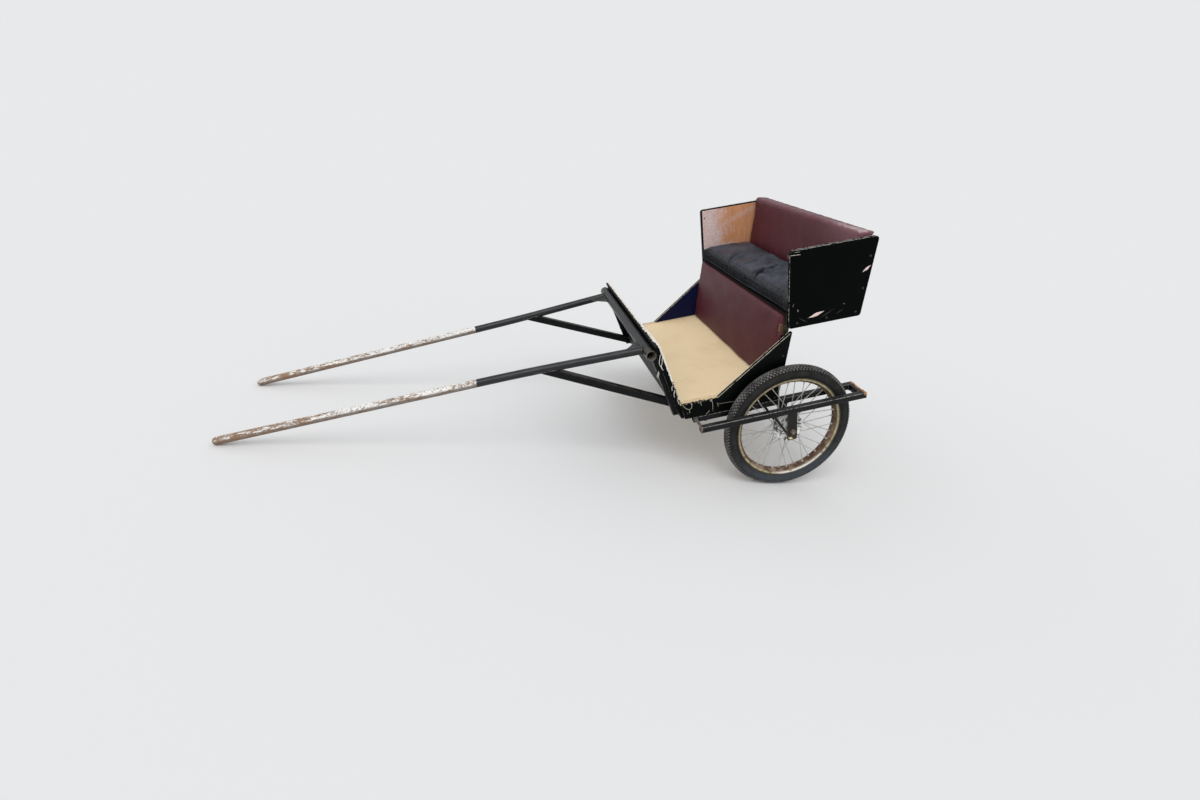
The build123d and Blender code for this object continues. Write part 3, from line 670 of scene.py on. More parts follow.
def use_only(piece):
    """Selects one object and makes it the active one."""
    bpy.ops.object.select_all(action="DESELECT")
    piece.select_set(True)
    bpy.context.view_layer.objects.active = piece


def settle(piece, name):
    """Puts a new object's place, turn and size into its mesh and names it."""
    use_only(piece)
    bpy.ops.object.transform_apply(location=True, rotation=True, scale=True)
    piece.name = name
    piece.data.name = name
    return piece


def new_block(name, low, high):
    """A box between two corners, ready to be shaped."""
    low, high = Vector(low), Vector(high)
    bpy.ops.object.select_all(action="DESELECT")
    bpy.ops.mesh.primitive_cube_add(size=1, location=(low + high) / 2)
    block = bpy.context.object
    block.scale = high - low
    return settle(block, name)


def new_rod(name, start, end, radius, sides=12):
    """A round bar between two points, ready to be shaped."""
    start, end = Vector(start), Vector(end)
    run = end - start
    bpy.ops.object.select_all(action="DESELECT")
    bpy.ops.mesh.primitive_cylinder_add(
        vertices=sides, radius=radius, depth=run.length,
        location=(start + end) / 2, rotation=run.to_track_quat("Z", "Y").to_euler(),
    )
    return settle(bpy.context.object, name)


KINDS = {"VERT": "verts", "EDGE": "edges", "FACE": "faces"}


@contextmanager
def picked(piece, kind, test=None):
    """Edit mode with the parts of one kind selected whose middle passes a test, or with all of them."""
    use_only(piece)
    bpy.ops.object.mode_set(mode="EDIT")
    bpy.ops.mesh.select_mode(type=kind)
    bpy.ops.mesh.select_all(action="DESELECT" if test else "SELECT")
    if test:
        mesh = bmesh.from_edit_mesh(piece.data)
        for part in getattr(mesh, KINDS[kind]):
            corners = [part] if kind == "VERT" else part.verts
            part.select_set(test(sum((corner.co for corner in corners), Vector()) / len(corners)))
        mesh.select_flush_mode()
        bmesh.update_edit_mesh(piece.data)
    yield
    bpy.ops.object.mode_set(mode="OBJECT")


SHARP = radians(35)
MERGE_WITHIN = 0.00001


def bevel_all(piece, width, segments=2):
    """Rounds every edge sharper than a curve's facets."""
    apply(piece, "BEVEL", width=width, segments=segments, limit_method="ANGLE", angle_limit=SHARP)


def apply(piece, kind, **settings):
    """Adds a modifier with its settings and applies it."""
    use_only(piece)
    modifier = piece.modifiers.new(kind.lower(), kind)
    for name, value in settings.items():
        setattr(modifier, name, value)
    bpy.ops.object.modifier_apply(modifier=modifier.name)


def clean(piece):
    """Merges doubled points and turns the faces outwards."""
    with picked(piece, "VERT"):
        bpy.ops.mesh.remove_doubles(threshold=MERGE_WITHIN)
        bpy.ops.mesh.normals_make_consistent(inside=False)


def smooth(piece, angle=40):
    """Shades a piece smooth below an angle."""
    use_only(piece)
    bpy.ops.object.shade_smooth_by_angle(angle=radians(angle))
    return piece


def join(name, pieces, angle=40):
    """Joins pieces into one, and shades it smooth below an angle if one is given."""
    bpy.ops.object.select_all(action="DESELECT")
    for piece in pieces:
        piece.select_set(True)
    bpy.context.view_layer.objects.active = pieces[0]
    if len(pieces) > 1:
        bpy.ops.object.join()
    joined = bpy.context.object
    joined.name = name
    joined.data.name = name
    return smooth(joined, angle) if angle else joined


def trace(name, points):
    """A line of edges through points: a plane merged to one point, then extruded from point to point."""
    points = [Vector(point) for point in points]
    bpy.ops.object.select_all(action="DESELECT")
    bpy.ops.mesh.primitive_plane_add(size=0.01, location=points[0])
    line = settle(bpy.context.object, name)
    with picked(line, "VERT"):
        bpy.ops.mesh.merge(type="CENTER")
        for before, after in zip(points, points[1:]):
            bpy.ops.mesh.extrude_region_move(TRANSFORM_OT_translate={"value": after - before})
    return line


def lathe(name, profile, hand, steps=96):
    """Spins a closed outline of (radius, offset outwards from the wheel's middle plane) about the axle."""
    points = [(radius, hand * (WHEEL_Y + offset), 0) for radius, offset in profile]
    ring = trace(name, [*points, points[0]])
    with picked(ring, "VERT"):
        bpy.ops.mesh.spin(steps=steps, angle=tau, center=(0, 0, 0), axis=(0, 1, 0))
    clean(ring)
    return ring


def arc_through(start, middle, end, steps):
    """Points on the circle through three points of a plane, from the first to the last."""
    (ax, ay), (bx, by), (cx, cy) = start, middle, end
    double = 2 * (ax * (by - cy) + bx * (cy - ay) + cx * (ay - by))
    a, b, c = ax * ax + ay * ay, bx * bx + by * by, cx * cx + cy * cy
    ux = (a * (by - cy) + b * (cy - ay) + c * (ay - by)) / double
    uy = (a * (cx - bx) + b * (ax - cx) + c * (bx - ax)) / double
    radius = hypot(ax - ux, ay - uy)
    first = atan2(ay - uy, ax - ux)
    half = (atan2(by - uy, bx - ux) - first + pi) % tau - pi
    last = half + (atan2(cy - uy, cx - ux) - first - half + pi) % tau - pi
    turns = [first + last * step / steps for step in range(steps + 1)]
    return [(ux + radius * cos(turn), uy + radius * sin(turn)) for turn in turns]


def tube(name, points, radius, sides, cyclic=False):
    """A round strand along points, as a mesh."""
    curve = bpy.data.curves.new(name, "CURVE")
    curve.dimensions = "3D"
    spline = curve.splines.new("NURBS")
    spline.points.add(len(points) - 1)
    for target, point in zip(spline.points, points):
        target.co = (*point, 1)
    spline.order_u = 3
    spline.use_endpoint_u = not cyclic
    spline.use_cyclic_u = cyclic
    curve.bevel_depth = radius
    curve.bevel_resolution = sides // 4
    curve.use_fill_caps = True
    strand = bpy.data.objects.new(name, curve)
    bpy.context.scene.collection.objects.link(strand)
    use_only(strand)
    bpy.ops.object.convert(target="MESH")
    return bpy.context.object


def places(piece):
    """Every point of a piece and its normal, as arrays."""
    mesh = piece.data
    where = np.empty(len(mesh.vertices) * 3)
    mesh.vertices.foreach_get("co", where)
    normals = np.empty(len(mesh.vertices) * 3)
    mesh.vertex_normals.foreach_get("vector", normals)
    return where.reshape(-1, 3), normals.reshape(-1, 3)


def move_to(piece, where):
    """Moves every point of a piece."""
    piece.data.vertices.foreach_set("co", where.ravel())
    piece.data.update()


def finish_piece(piece, material, body, slot, *nodes):
    """Tips a finished piece into the parked attitude, and gives it its material and body; its slot is not used."""
    piece.data.transform(PARKED)
    piece.data.materials.clear()
    piece.data.materials.append(material)
    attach(piece, body)
    if nodes:
        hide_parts(*nodes)
    return piece


# Soft pieces

PUFF_FRAMES = 20


def puff(piece, voxel, pressure, cap):
    """Fills a soft piece with air for a moment, as padding would, and divides it once."""
    apply(piece, "REMESH", mode="VOXEL", voxel_size=voxel)
    start, _ = places(piece)
    swell(piece, start, pressure, cap)
    apply(piece, "SUBSURF", levels=1, render_levels=1)


def swell(piece, start, pressure, cap):
    """Runs the cloth, and stops each point at the cap."""
    scene = bpy.context.scene
    use_only(piece)
    cloth = piece.modifiers.new("cloth", "CLOTH")
    cloth.settings.use_pressure = True
    cloth.settings.uniform_pressure_force = pressure
    cloth.settings.effector_weights.gravity = 0
    cloth.point_cache.frame_end = PUFF_FRAMES
    for number in range(1, PUFF_FRAMES + 1):
        scene.frame_set(number)
    bpy.ops.object.modifier_apply(modifier=cloth.name)
    scene.frame_set(1)
    end, _ = places(piece)
    move = end - start
    length = np.linalg.norm(move, axis=1, keepdims=True)
    move_to(piece, start + move * np.minimum(1, cap / np.maximum(length, 1e-9)))


def ripple(values, size, seed):
    """A smooth random wave along one or more coordinates, from about -1 to 1."""
    draw = random.Random(seed)
    total = np.zeros(len(values))
    for step in range(4):
        turn = draw.uniform(0, tau)
        direction = np.array([draw.uniform(-1, 1) for _ in range(values.shape[1])])
        direction /= np.linalg.norm(direction)
        total += np.sin(values @ direction * tau / size * (1 + 0.45 * step) + turn) / (1 + 0.5 * step)
    return total / 2


def ramp(values, start, reach):
    """0 at a start, 1 a reach further, and no more outside them."""
    return np.clip((values - start) / reach, 0, 1)


def bell(values, width):
    """1 at nothing, falling smoothly within about a width."""
    return np.exp(-((values / width) ** 2))


def from_line(where, line):
    """Each point's distance to a line of points in plan, and how far along the line it is, from 0 to 1."""
    best = np.full(len(where), 9.0)
    share = np.zeros(len(where))
    runs = list(zip(line, line[1:]))
    for number, (start, end) in enumerate(runs):
        start, end = np.array(start), np.array(end)
        run = end - start
        along = np.clip((where - start) @ run / (run @ run), 0, 1)
        gap = np.linalg.norm(where - start - along[:, None] * run, axis=1)
        nearer = gap < best
        best = np.where(nearer, gap, best)
        share = np.where(nearer, (number + along) / len(runs), share)
    return best, share


CREASES = (
    # line in plan, depth, width
    (((-0.004, 0.15), (-0.032, 0.133), (-0.077, 0.106), (-0.121, 0.092), (-0.161, 0.076), (-0.25, 0.07)),
     0.018, 0.0046),
    (((0.0, -0.125), (-0.013, -0.143), (-0.055, -0.171), (-0.084, -0.181), (-0.113, -0.186), (-0.165, -0.182)),
     0.013, 0.005),
    (((-0.03, 0.085), (-0.07, 0.1), (-0.12, 0.105)), 0.006, 0.005),
    (((-0.02, 0.09), (-0.05, 0.13), (-0.1, 0.16)), 0.005, 0.005),
    (((-0.03, -0.02), (-0.08, -0.03), (-0.13, -0.06)), 0.005, 0.006),
    (((-0.02, -0.11), (-0.06, -0.13), (-0.12, -0.14)), 0.004, 0.006),
    (((-0.02, 0.26), (-0.07, 0.245), (-0.14, 0.25)), 0.005, 0.007),
    (((-0.01, 0.34), (-0.06, 0.36), (-0.11, 0.35)), 0.004, 0.006),
    (((-0.03, -0.36), (-0.09, -0.35), (-0.17, -0.37)), 0.005, 0.008),
)


def seat_cushion():
    """The loose seat cushion: crowned, creased across, gathered along its front band, with painted shade kept on
    the mesh for its creases, seam and gathers.
    """
    foot = SEAT_BOARD_TOP + SEAT_GAP
    top = foot + CUSHION_HEIGHT
    shrink = 0.004
    half = ARM_INNER_Y - SOFT_SIDE_GAP - shrink
    against_pad = BACK_BOARD_DEPTH + SEAT_GAP + BACK_PAD_DEPTH + SEAT_GAP
    rear = against_pad + shrink
    corners = (back_x(foot) + rear, -half, foot), (CUSHION_FRONT_X - shrink, half, top)
    piece = new_block("seat_cushion_cover", *corners)
    with picked(piece, "VERT", lambda co: co.x < -0.1 and co.z > foot + 0.01):
        bpy.ops.transform.translate(value=(back_x(top) - back_x(foot), 0, 0))
    bevel_all(piece, 0.008, 3)
    puff(piece, voxel=0.006, pressure=4.0, cap=0.012)
    where, normals = places(piece)
    x, y, z = where.T
    up = np.clip(normals[:, 2] * 1.6 - 0.3, 0, 1)
    across = np.clip(y / half, -1, 1)
    crown = (1 - across ** 8) * ramp(x, -0.266, 0.05) ** 0.6 * ramp(x, 0.004, -0.045) ** 0.7
    where[:, 2] += up * crown * (0.015 - 0.003 * across)
    where[:, 2] += up * ripple(where[:, :2], 0.16, 5) * 0.003
    where[:, 2] += up * ripple(where[:, :2], 0.055, 15) * 0.0012
    wander = np.stack([ripple(where[:, :2], 0.05, 6), ripple(where[:, :2], 0.06, 7)], axis=1) * 0.0035
    # Painted shade, kept for the cover's colour: dark in the creases, along the seam under the top edge and in the
    # gathers' hollows.
    shade = np.zeros(len(where))
    for line, depth, width in CREASES:
        gap, share = from_line(where[:, :2] + wander, line)
        fade = np.sin(np.clip(share, 0.02, 0.98) * pi) ** 0.5
        wide = width * (1 + 1.3 * ramp(share, 0.2, 0.25))
        valley = bell(gap, wide)
        shade = np.maximum(shade, fade * bell(gap, 0.9 * wide) * min(1, depth / 0.01) * (up > 0))
        ridge = bell(gap - 2.2 * wide, 1.3 * wide)
        where[:, 2] += up * fade * depth * (0.4 * ridge - valley)
    front = np.clip(normals[:, 0] * 1.5 - 0.2, 0, 1)
    gather = ripple(y[:, None], 0.024, 8) + 0.6 * ripple(y[:, None], 0.011, 9)
    band = np.sin(ramp(z, foot, top - foot) * pi)
    where[:, 0] += front * band * gather * 0.0042
    near_seam = bell(z - top + 0.004, 0.006) * front
    where[:, 0] -= near_seam * 0.0035
    # Painted shade only, a dark line along the seam under the top edge; it does not move the mesh.
    seam_shade = bell(z - top + 0.0045, 0.004) * ramp(x, -0.06, 0.03)
    shade = np.maximum(shade, seam_shade)
    shade = np.maximum(shade, np.minimum(1, 2 * front) * band * np.clip(-gather, 0, 1.3) * 0.8)
    tucked = ramp(z, foot + 0.016, -0.016) * ramp(x, -0.05, 0.04)
    where[:, 0] -= tucked * 0.01
    where[:, 0] -= ramp(y, 0, half) * ramp(x, -0.2, 0.2) * 0.014
    corner = ramp(where[:, 0], -0.045, 0.04) * ramp(np.abs(y), half - 0.045, 0.04)
    where[:, 0] += corner * 0.007
    where[:, 1] += corner * np.sign(y) * 0.007
    where[:, 2] += up * corner * 0.012
    where[:, 0] = np.maximum(where[:, 0], back_x(where[:, 2]) + against_pad + 0.005)
    where[:, 1] = np.clip(where[:, 1], -ARM_INNER_Y + 0.001, ARM_INNER_Y - 0.001)
    where[:, 2] = np.maximum(where[:, 2], foot)
    move_to(piece, where)
    # Stores the painted shade on the mesh.
    piece.data.attributes.new("crease", "FLOAT", "POINT").data.foreach_set("value", shade)
    return smooth(piece, 80)


def seam_on(piece, name, points, radius, sink=0.0):
    """A piped seam: a strand pulled onto a piece's surface."""
    tree = BVHTree.FromObject(piece, bpy.context.evaluated_depsgraph_get())
    pulled = []
    for point in points:
        spot, normal, _, _ = tree.find_nearest(Vector(point))
        pulled.append(spot + normal * (radius * 0.2 - sink))
    return tube(name, pulled, radius, 8)


def cushion_seams(cushion):
    """Piping round the cushion's top and bottom edges."""
    foot = SEAT_BOARD_TOP + SEAT_GAP
    half = ARM_INNER_Y - SOFT_SIDE_GAP
    strands = []
    for level, inset in ((foot + CUSHION_HEIGHT + 0.002, 0.004), (foot + 0.013, 0.0)):
        points = [(-0.245 + step * 0.0245, -half + inset, level) for step in range(10)]
        points += [(CUSHION_FRONT_X - inset - 0.014 * max(0, step / 30 - 1),
                    -half + 0.012 + step * (2 * half - 0.024) / 60, level) for step in range(61)]
        points += [(-0.0245 - step * 0.0245, half - inset, level) for step in range(10)]
        strands.append(seam_on(cushion, "seam", points, 0.0022))
    return join("seat_cushion_piping", strands, None)


def back_pad():
    """The seat back's pad, rolled over the top of its board."""
    foot = SEAT_BOARD_TOP + 2 * SEAT_GAP
    top = BACK_PAD_TOP
    half = ARM_INNER_Y - SOFT_SIDE_GAP
    front = BACK_BOARD_DEPTH + SEAT_GAP + BACK_PAD_DEPTH
    piece = new_block("back_pad_cover", (back_x(foot), -half, foot), (back_x(foot) + front, half, top))
    lean = back_x(top) - back_x(foot)
    with picked(piece, "VERT", lambda co: co.z > top - 0.01):
        bpy.ops.transform.translate(value=(lean, 0, 0))
    step = 0.7 + SEAT_GAP
    with picked(piece, "FACE"):
        bpy.ops.mesh.bisect(plane_co=(0, 0, step), plane_no=(0, 0, 1))
    rear = back_x((foot + step) / 2)
    with picked(piece, "FACE", lambda co: abs(co.x - rear) < 0.002 and co.z < step):
        bpy.ops.transform.translate(value=(BACK_BOARD_DEPTH + SEAT_GAP, 0, 0))
    front_top = back_x(top) + front
    with picked(piece, "EDGE", lambda co: co.x > front_top - 0.003 and co.z > top - 0.003):
        bpy.ops.mesh.bevel(offset=0.013, segments=4, affect="EDGES")
    bevel_all(piece, 0.009, 3)
    puff(piece, voxel=0.007, pressure=3.0, cap=0.004)
    where, normals = places(piece)
    forward = np.clip(normals[:, 0] * 1.5 - 0.3, 0, 1)
    where[:, 0] += forward * ripple(where[:, 1:], 0.26, 11) * 0.0024
    where[:, 1] = np.clip(where[:, 1], -ARM_INNER_Y + 0.001, ARM_INNER_Y - 0.001)
    from_rear = ramp(where[:, 0], back_x(where[:, 2]), front)
    where[:, 2] += ramp(where[:, 2], top - 0.05, 0.05) * (from_rear * 0.01 - 0.0015)
    up = np.clip(normals[:, 2] * 1.5 - 0.3, 0, 1)
    where[:, 2] += up * ripple(where[:, 1:2], 0.075, 13) * 0.0007
    move_to(piece, where)
    return smooth(piece, 80)


def seat_panel():
    """The padded panel below the seat, its vinyl wrapped round all its edges."""
    foot, top = FLOOR_TOP + 0.001, SEAT_BOARD_TOP
    half = SIDE_INNER_Y - 0.0005
    front = seat_front_x(foot)
    piece = new_block("seat_panel_cover", (front - SEAT_PANEL_DEPTH, -half, foot), (front, half, top))
    with picked(piece, "VERT", lambda co: co.z > top - 0.01):
        bpy.ops.transform.translate(value=(seat_front_x(top) - front, 0, 0))
    with picked(piece, "EDGE", lambda co: co.y > half - 0.001 and co.z > top - 0.001):
        bpy.ops.mesh.bevel(offset=0.018, segments=5, affect="EDGES")
    bevel_all(piece, 0.006, 3)
    puff(piece, voxel=0.007, pressure=2.0, cap=0.002)
    where, normals = places(piece)
    forward = np.clip(normals[:, 0] * 1.5 - 0.3, 0, 1)
    where[:, 0] += forward * ripple(where[:, 1:], 0.2, 14) * 0.0015
    move_to(piece, where)
    return smooth(piece, 80)


# Wheels

TYRE_STEPS = 120
TYRE_SHARP = 38
RIB_HALF = 0.0008
RIB_HEIGHT = 0.0009


def tyre_outline():
    """The tyre's section under its tread, from one bead round to the other."""
    crown = WHEEL_RADIUS - TREAD_DEPTH
    shoulder = (0.259 - 0.001, 0.0215)
    cheek = (0.2405, TYRE_WIDTH / 2)
    bead = (RIM_FLANGE_RADIUS + 0.0005, 0.019)
    outer = [(RIM_SEAT_RADIUS, 0.019), *arc_through(bead, cheek, shoulder, 10)]
    half = outer + arc_through(shoulder, (crown, 0), (shoulder[0], -shoulder[1]), 16)[1:8]
    ring = half + [(crown, 0)] + [(radius, -offset) for radius, offset in reversed(half)]
    inside = [(radius - 0.006 if radius > 0.23 else radius, offset * 0.7) for radius, offset in ring]
    return ring + inside[::-6]


def tread_blocks(side, hand, count=118):
    """Rubber blocks all round the tyre: two staggered middle rows and slanted shoulder lugs."""
    pitch = tau / count
    blocks = []
    for offset, length, width, height, shift, slant in (
        # across, length round, width across, top radius, place in the pitch, slant
        (0.005, 0.0098, 0.0076, WHEEL_RADIUS - 0.0003, 0.0, 14),
        (-0.005, 0.0098, 0.0076, WHEEL_RADIUS - 0.0003, 0.5, 14),
        (0.0142, 0.0094, 0.0072, WHEEL_RADIUS - 0.0038, 0.5, -22),
        (-0.0142, 0.0094, 0.0072, WHEEL_RADIUS - 0.0038, 0.0, -22),
        (0.0212, 0.0068, 0.0056, WHEEL_RADIUS - 0.0088, 0.0, 0),
        (-0.0212, 0.0068, 0.0056, WHEEL_RADIUS - 0.0088, 0.5, 0),
    ):
        block = new_block("block", (-length / 2, -width / 2, -0.0075), (length / 2, width / 2, 0))
        bevel_all(block, 0.0007, 1)
        tilt = Matrix.Rotation(-offset * 26, 4, "X")
        turn = Matrix.Rotation(radians(slant) * (1 if offset > 0 else -1), 4, "Z")
        lift = Matrix.Translation((0, hand * WHEEL_Y + offset, height))
        block.data.transform(Matrix.Rotation(shift * pitch, 4, "Y") @ lift @ tilt @ turn)
        blocks.append(block)
    tread = join(f"tread_{side}", blocks, None)
    bpy.ops.object.empty_add(rotation=(0, pitch, 0))
    step = bpy.context.object
    apply(tread, "ARRAY", count=count, use_relative_offset=False, use_object_offset=True, offset_object=step)
    bpy.data.objects.remove(step)
    return smooth(tread, TYRE_SHARP)


def tyre(side, hand):
    """The tyre with the fine ribs on its walls."""
    body = lathe("tyre_body", tyre_outline(), hand, TYRE_STEPS)
    ribs = []
    for radius, away in ((0.229, 0.0236), (0.229, -0.0236), (0.251, 0.025), (0.251, -0.025)):
        peak = away + (RIB_HEIGHT if away > 0 else -RIB_HEIGHT)
        outline = [(radius - RIB_HALF, away), (radius, peak), (radius + RIB_HALF, away)]
        ribs.append(lathe("rib", outline, hand, TYRE_STEPS))
    return join(f"tyre_{side}_rubber", [body, *ribs], TYRE_SHARP)


# Spokes, as the hub carries them
SPOKE_PAIRS = 9
SPOKE_LEAD = radians(40)
SPOKE_STAGGER = 0.0022
SPOKE_REACH = RIM_WELL_RADIUS - 0.0025


def spoke_ends(hand):
    """Each spoke's foot on the hub and its head on the rim."""
    for offset, radius, rim_offset, turn in (
        (-0.025, 0.038, -2 * SPOKE_STAGGER, 0.0),
        (-0.001, 0.06, 2 * SPOKE_STAGGER, radians(90 / SPOKE_PAIRS)),
    ):
        for pair in range(SPOKE_PAIRS):
            for lead in (1, -1):
                at_hub = turn + (pair + (lead < 0) / 2) * tau / SPOKE_PAIRS
                yield [
                    Vector((reach * cos(at), hand * (WHEEL_Y + away + lead * SPOKE_STAGGER), reach * sin(at)))
                    for reach, at, away in (
                        (radius, at_hub, offset), (SPOKE_REACH, at_hub + lead * SPOKE_LEAD, rim_offset),
                    )
                ]


def nipples(side, hand):
    """The nipples that hold the spokes in the rim."""
    pieces = []
    for foot, head in spoke_ends(hand):
        inward = (foot - head).normalized()
        pieces.append(new_rod("nipple", head, head + inward * 0.012, 0.0026, 6))
        pieces.append(new_rod("collar", head, head + inward * 0.003, 0.004, 8))
    return join(f"nipples_{side}", pieces)


def valve(side, hand):
    """The tyre valve with its cap."""
    turn = radians(22)
    out = Vector((cos(turn), 0, sin(turn)))
    root = out * (RIM_WELL_RADIUS - 0.001) + Vector((0, hand * WHEEL_Y, 0))
    stem = new_rod("stem", root, root - out * 0.022, 0.0033, 12)
    nut = new_rod("nut", root - out * 0.002, root - out * 0.006, 0.0062, 6)
    cap = new_rod("cap", root - out * 0.02, root - out * 0.031, 0.0042, 12)
    for part in (stem, nut, cap):
        bevel_all(part, 0.0006, 2)
    return join(f"valve_{side}", [stem, nut, cap])


def drum_cover(side, hand):
    """The dished cover on the outer face of the drum."""
    face = 0.012
    profile = (
        # radius, offset
        (0.0125, face), (0.0125, face + 0.0062), (0.02, face + 0.0062), (0.0215, face + 0.005),
        (0.0235, face + 0.002), (0.03, face + 0.0012), (0.048, face + 0.0012), (0.051, face + 0.003),
        (0.056, face + 0.0038), (0.0592, face + 0.0034), (0.0606, face + 0.0016), (0.0606, face - 0.003),
        (0.0596, face - 0.003), (0.059, face),
    )
    cover = lathe(f"drum_cover_{side}", profile, hand, 72)
    bevel_all(cover, 0.0004, 1)
    return smooth(cover)


# Small pieces

CROSSBAR_Z = 0.3986
CROSSBAR_RADIUS = 0.021
CROSSBAR_X = dash_x(CROSSBAR_Z) + DASH_DEPTH + (CROSSBAR_RADIUS + SEAT_GAP) / cos(DASH_LEAN)
CROSSBAR_HALF = 0.447
POST_DEPTH = 0.0222
SHAFT_RADIUS = 0.016
SHAFT_ROOT = (0.0, 0.374)
SHAFT_BEND = (0.48, 0.321)
GUSSET_LEG = 0.075
GUSSET_PLATE = 0.005
INNER_RAIL_Y = 0.4595
OUTER_RAIL_Y = 0.5485
RAIL_HALF = 0.0125
RAIL_TOP = 0.111
RAIL_UNDER = 0.086
RAIL_FRONT_X = 0.382
RAIL_REAR_X = -0.309
LINK_ROD_X = 0.372
LINK_ROD_RADIUS = 0.006
HANGER_HALF = 0.02
HANGER_PLATE = 0.006
BRACE_FOOT_X = 0.084
BRACE_WIDTH = 0.012


def on_shafts(x, y, z=0.0):
    """A place given in the plane of the two shafts, measured from the crossbar's middle."""
    size = hypot(1, SHAFT_FALL)
    return Vector((CROSSBAR_X + (x + z * SHAFT_FALL) / size, y, CROSSBAR_Z + (z - x * SHAFT_FALL) / size))


def spread(points, step):
    """Points along straight runs, about a step apart."""
    points = [Vector(point) for point in points]
    spaced = [points[0]]
    for before, after in zip(points, points[1:]):
        count = max(1, round((after - before).length / step))
        spaced += [before.lerp(after, number / count) for number in range(1, count + 1)]
    return spaced


def cap_head(radius, height):
    """A domed nail or bolt head, standing on the XY plane."""
    bpy.ops.object.select_all(action="DESELECT")
    bpy.ops.mesh.primitive_uv_sphere_add(segments=12, ring_count=8, radius=1)
    head = settle(bpy.context.object, "head")
    with picked(head, "FACE"):
        bpy.ops.mesh.bisect(plane_co=(0, 0, 0), plane_no=(0, 0, 1), clear_inner=True, use_fill=True)
    head.data.transform(Matrix.Diagonal((radius, radius, height, 1)))
    return head


def hex_head(across, height):
    """A hexagon head on its washer, standing on the XY plane."""
    head = new_rod("head", (0, 0, 0), (0, 0, height), across / 2 / cos(pi / 6), 6)
    washer = new_rod("washer", (0, 0, 0), (0, 0, height * 0.25), across * 0.85, 16)
    for part in (head, washer):
        bevel_all(part, height * 0.1, 1)
    return join("head", [head, washer], None)


def set_out(name, model, spots):
    """One piece made of copies of a model, each standing on a point and facing a direction."""
    copies = []
    for point, out in spots:
        copy = model.copy()
        copy.data = model.data.copy()
        bpy.context.scene.collection.objects.link(copy)
        turn = Vector(out).to_track_quat("Z", "Y").to_matrix().to_4x4()
        copy.data.transform(Matrix.Translation(point) @ turn)
        copies.append(copy)
    bpy.data.objects.remove(model)
    return join(name, copies)


def weld(points, radius, seed, closed=False):
    """A lumpy bead along points."""
    run = spread(points, 0.0035)
    if closed:
        run = run[:-1]
    bead = tube("weld", run, radius, 8, closed)
    where, normals = places(bead)
    lumps = ripple(where, 0.0065, seed) * 0.28 + ripple(where, 0.003, seed + 1) * 0.14
    move_to(bead, where + normals * (lumps * radius)[:, None])
    return bead


def circle(middle, first, second, radius, count=16):
    """Points round a circle, the first one again at the end."""
    first, second = Vector(first).normalized(), Vector(second).normalized()
    turns = [tau * number / count for number in range(count + 1)]
    return [Vector(middle) + (first * cos(turn) + second * sin(turn)) * radius for turn in turns]


def shaft_run(hand):
    """The direction of a shaft from the crossbar to its bend."""
    return (on_shafts(SHAFT_BEND[0], hand * SHAFT_BEND[1]) - on_shafts(0, hand * SHAFT_ROOT[1])).normalized()


def shaft_joint(hand):
    """The line where a shaft's tube meets the crossbar's."""
    run = shaft_run(hand)
    across = run.cross(Vector((0, 0, 1))).normalized()
    up = across.cross(run)
    root = on_shafts(0, hand * SHAFT_ROOT[1])
    points = []
    for around in circle((0, 0, 0), across, up, SHAFT_RADIUS, 24):
        start = root + around
        off_x, off_z = start.x - CROSSBAR_X, start.z - CROSSBAR_Z
        a = run.x ** 2 + run.z ** 2
        b = 2 * (off_x * run.x + off_z * run.z)
        c = off_x ** 2 + off_z ** 2 - CROSSBAR_RADIUS ** 2
        reach = (-b + (b * b - 4 * a * c) ** 0.5) / (2 * a)
        points.append(start + run * (reach + 0.0005))
    return points


def weld_beads():
    """Every weld on the frame, as one piece."""
    beads = []
    for number, (_, hand) in enumerate(SIDES):
        seed = 100 + number * 40
        beads.append(weld(shaft_joint(hand), 0.0032, seed, True))
        inner_y = SHAFT_ROOT[1] - SHAFT_RADIUS
        for face in (1, -1):
            lift = face * GUSSET_PLATE / 2
            ends = [
                (CROSSBAR_RADIUS, inner_y - GUSSET_LEG, lift), (CROSSBAR_RADIUS, inner_y - 0.004, lift),
                (CROSSBAR_RADIUS + GUSSET_LEG * 0.97, inner_y - GUSSET_LEG * 0.11, lift),
            ]
            ends = [on_shafts(x, hand * y, z) for x, y, z in ends]
            beads.append(weld(ends, 0.0024, seed + 3 + face))
        for rail_y in (INNER_RAIL_Y, OUTER_RAIL_Y):
            for face in (1, -1):
                y = hand * rail_y + face * HANGER_PLATE / 2
                for first, last, radius, more in (
                    (-HANGER_HALF, HANGER_HALF, 0.0024, 7),
                    (BRACE_FOOT_X - BRACE_WIDTH, BRACE_FOOT_X, 0.0022, 9),
                ):
                    beads.append(weld([(first, y, RAIL_UNDER), (last, y, RAIL_UNDER)], radius, seed + more))
        for rail_y, face in ((INNER_RAIL_Y, 1), (OUTER_RAIL_Y, -1)):
            y = hand * (rail_y + face * RAIL_HALF)
            corners = ((RAIL_REAR_X, RAIL_TOP), (RAIL_REAR_X + 2 * RAIL_HALF, RAIL_TOP),
                       (RAIL_REAR_X + 2 * RAIL_HALF, RAIL_UNDER), (RAIL_REAR_X, RAIL_UNDER),
                       (RAIL_REAR_X, RAIL_TOP))
            beads.append(weld([(x, y, z) for x, z in corners], 0.002, seed + 11, True))
            middle = (LINK_ROD_X, y, (RAIL_TOP + RAIL_UNDER) / 2)
            ring = circle(middle, (1, 0, 0), (0, 0, 1), LINK_ROD_RADIUS, 12)
            beads.append(weld(ring, 0.0022, seed + 13, True))
    beads += strut_welds()
    return join("weld_beads", beads, 70)


STRUT_HALF = 0.015
STRUT_HEAD_AT = 0.408
STRUT_FOOT = (0.37, 0.142)


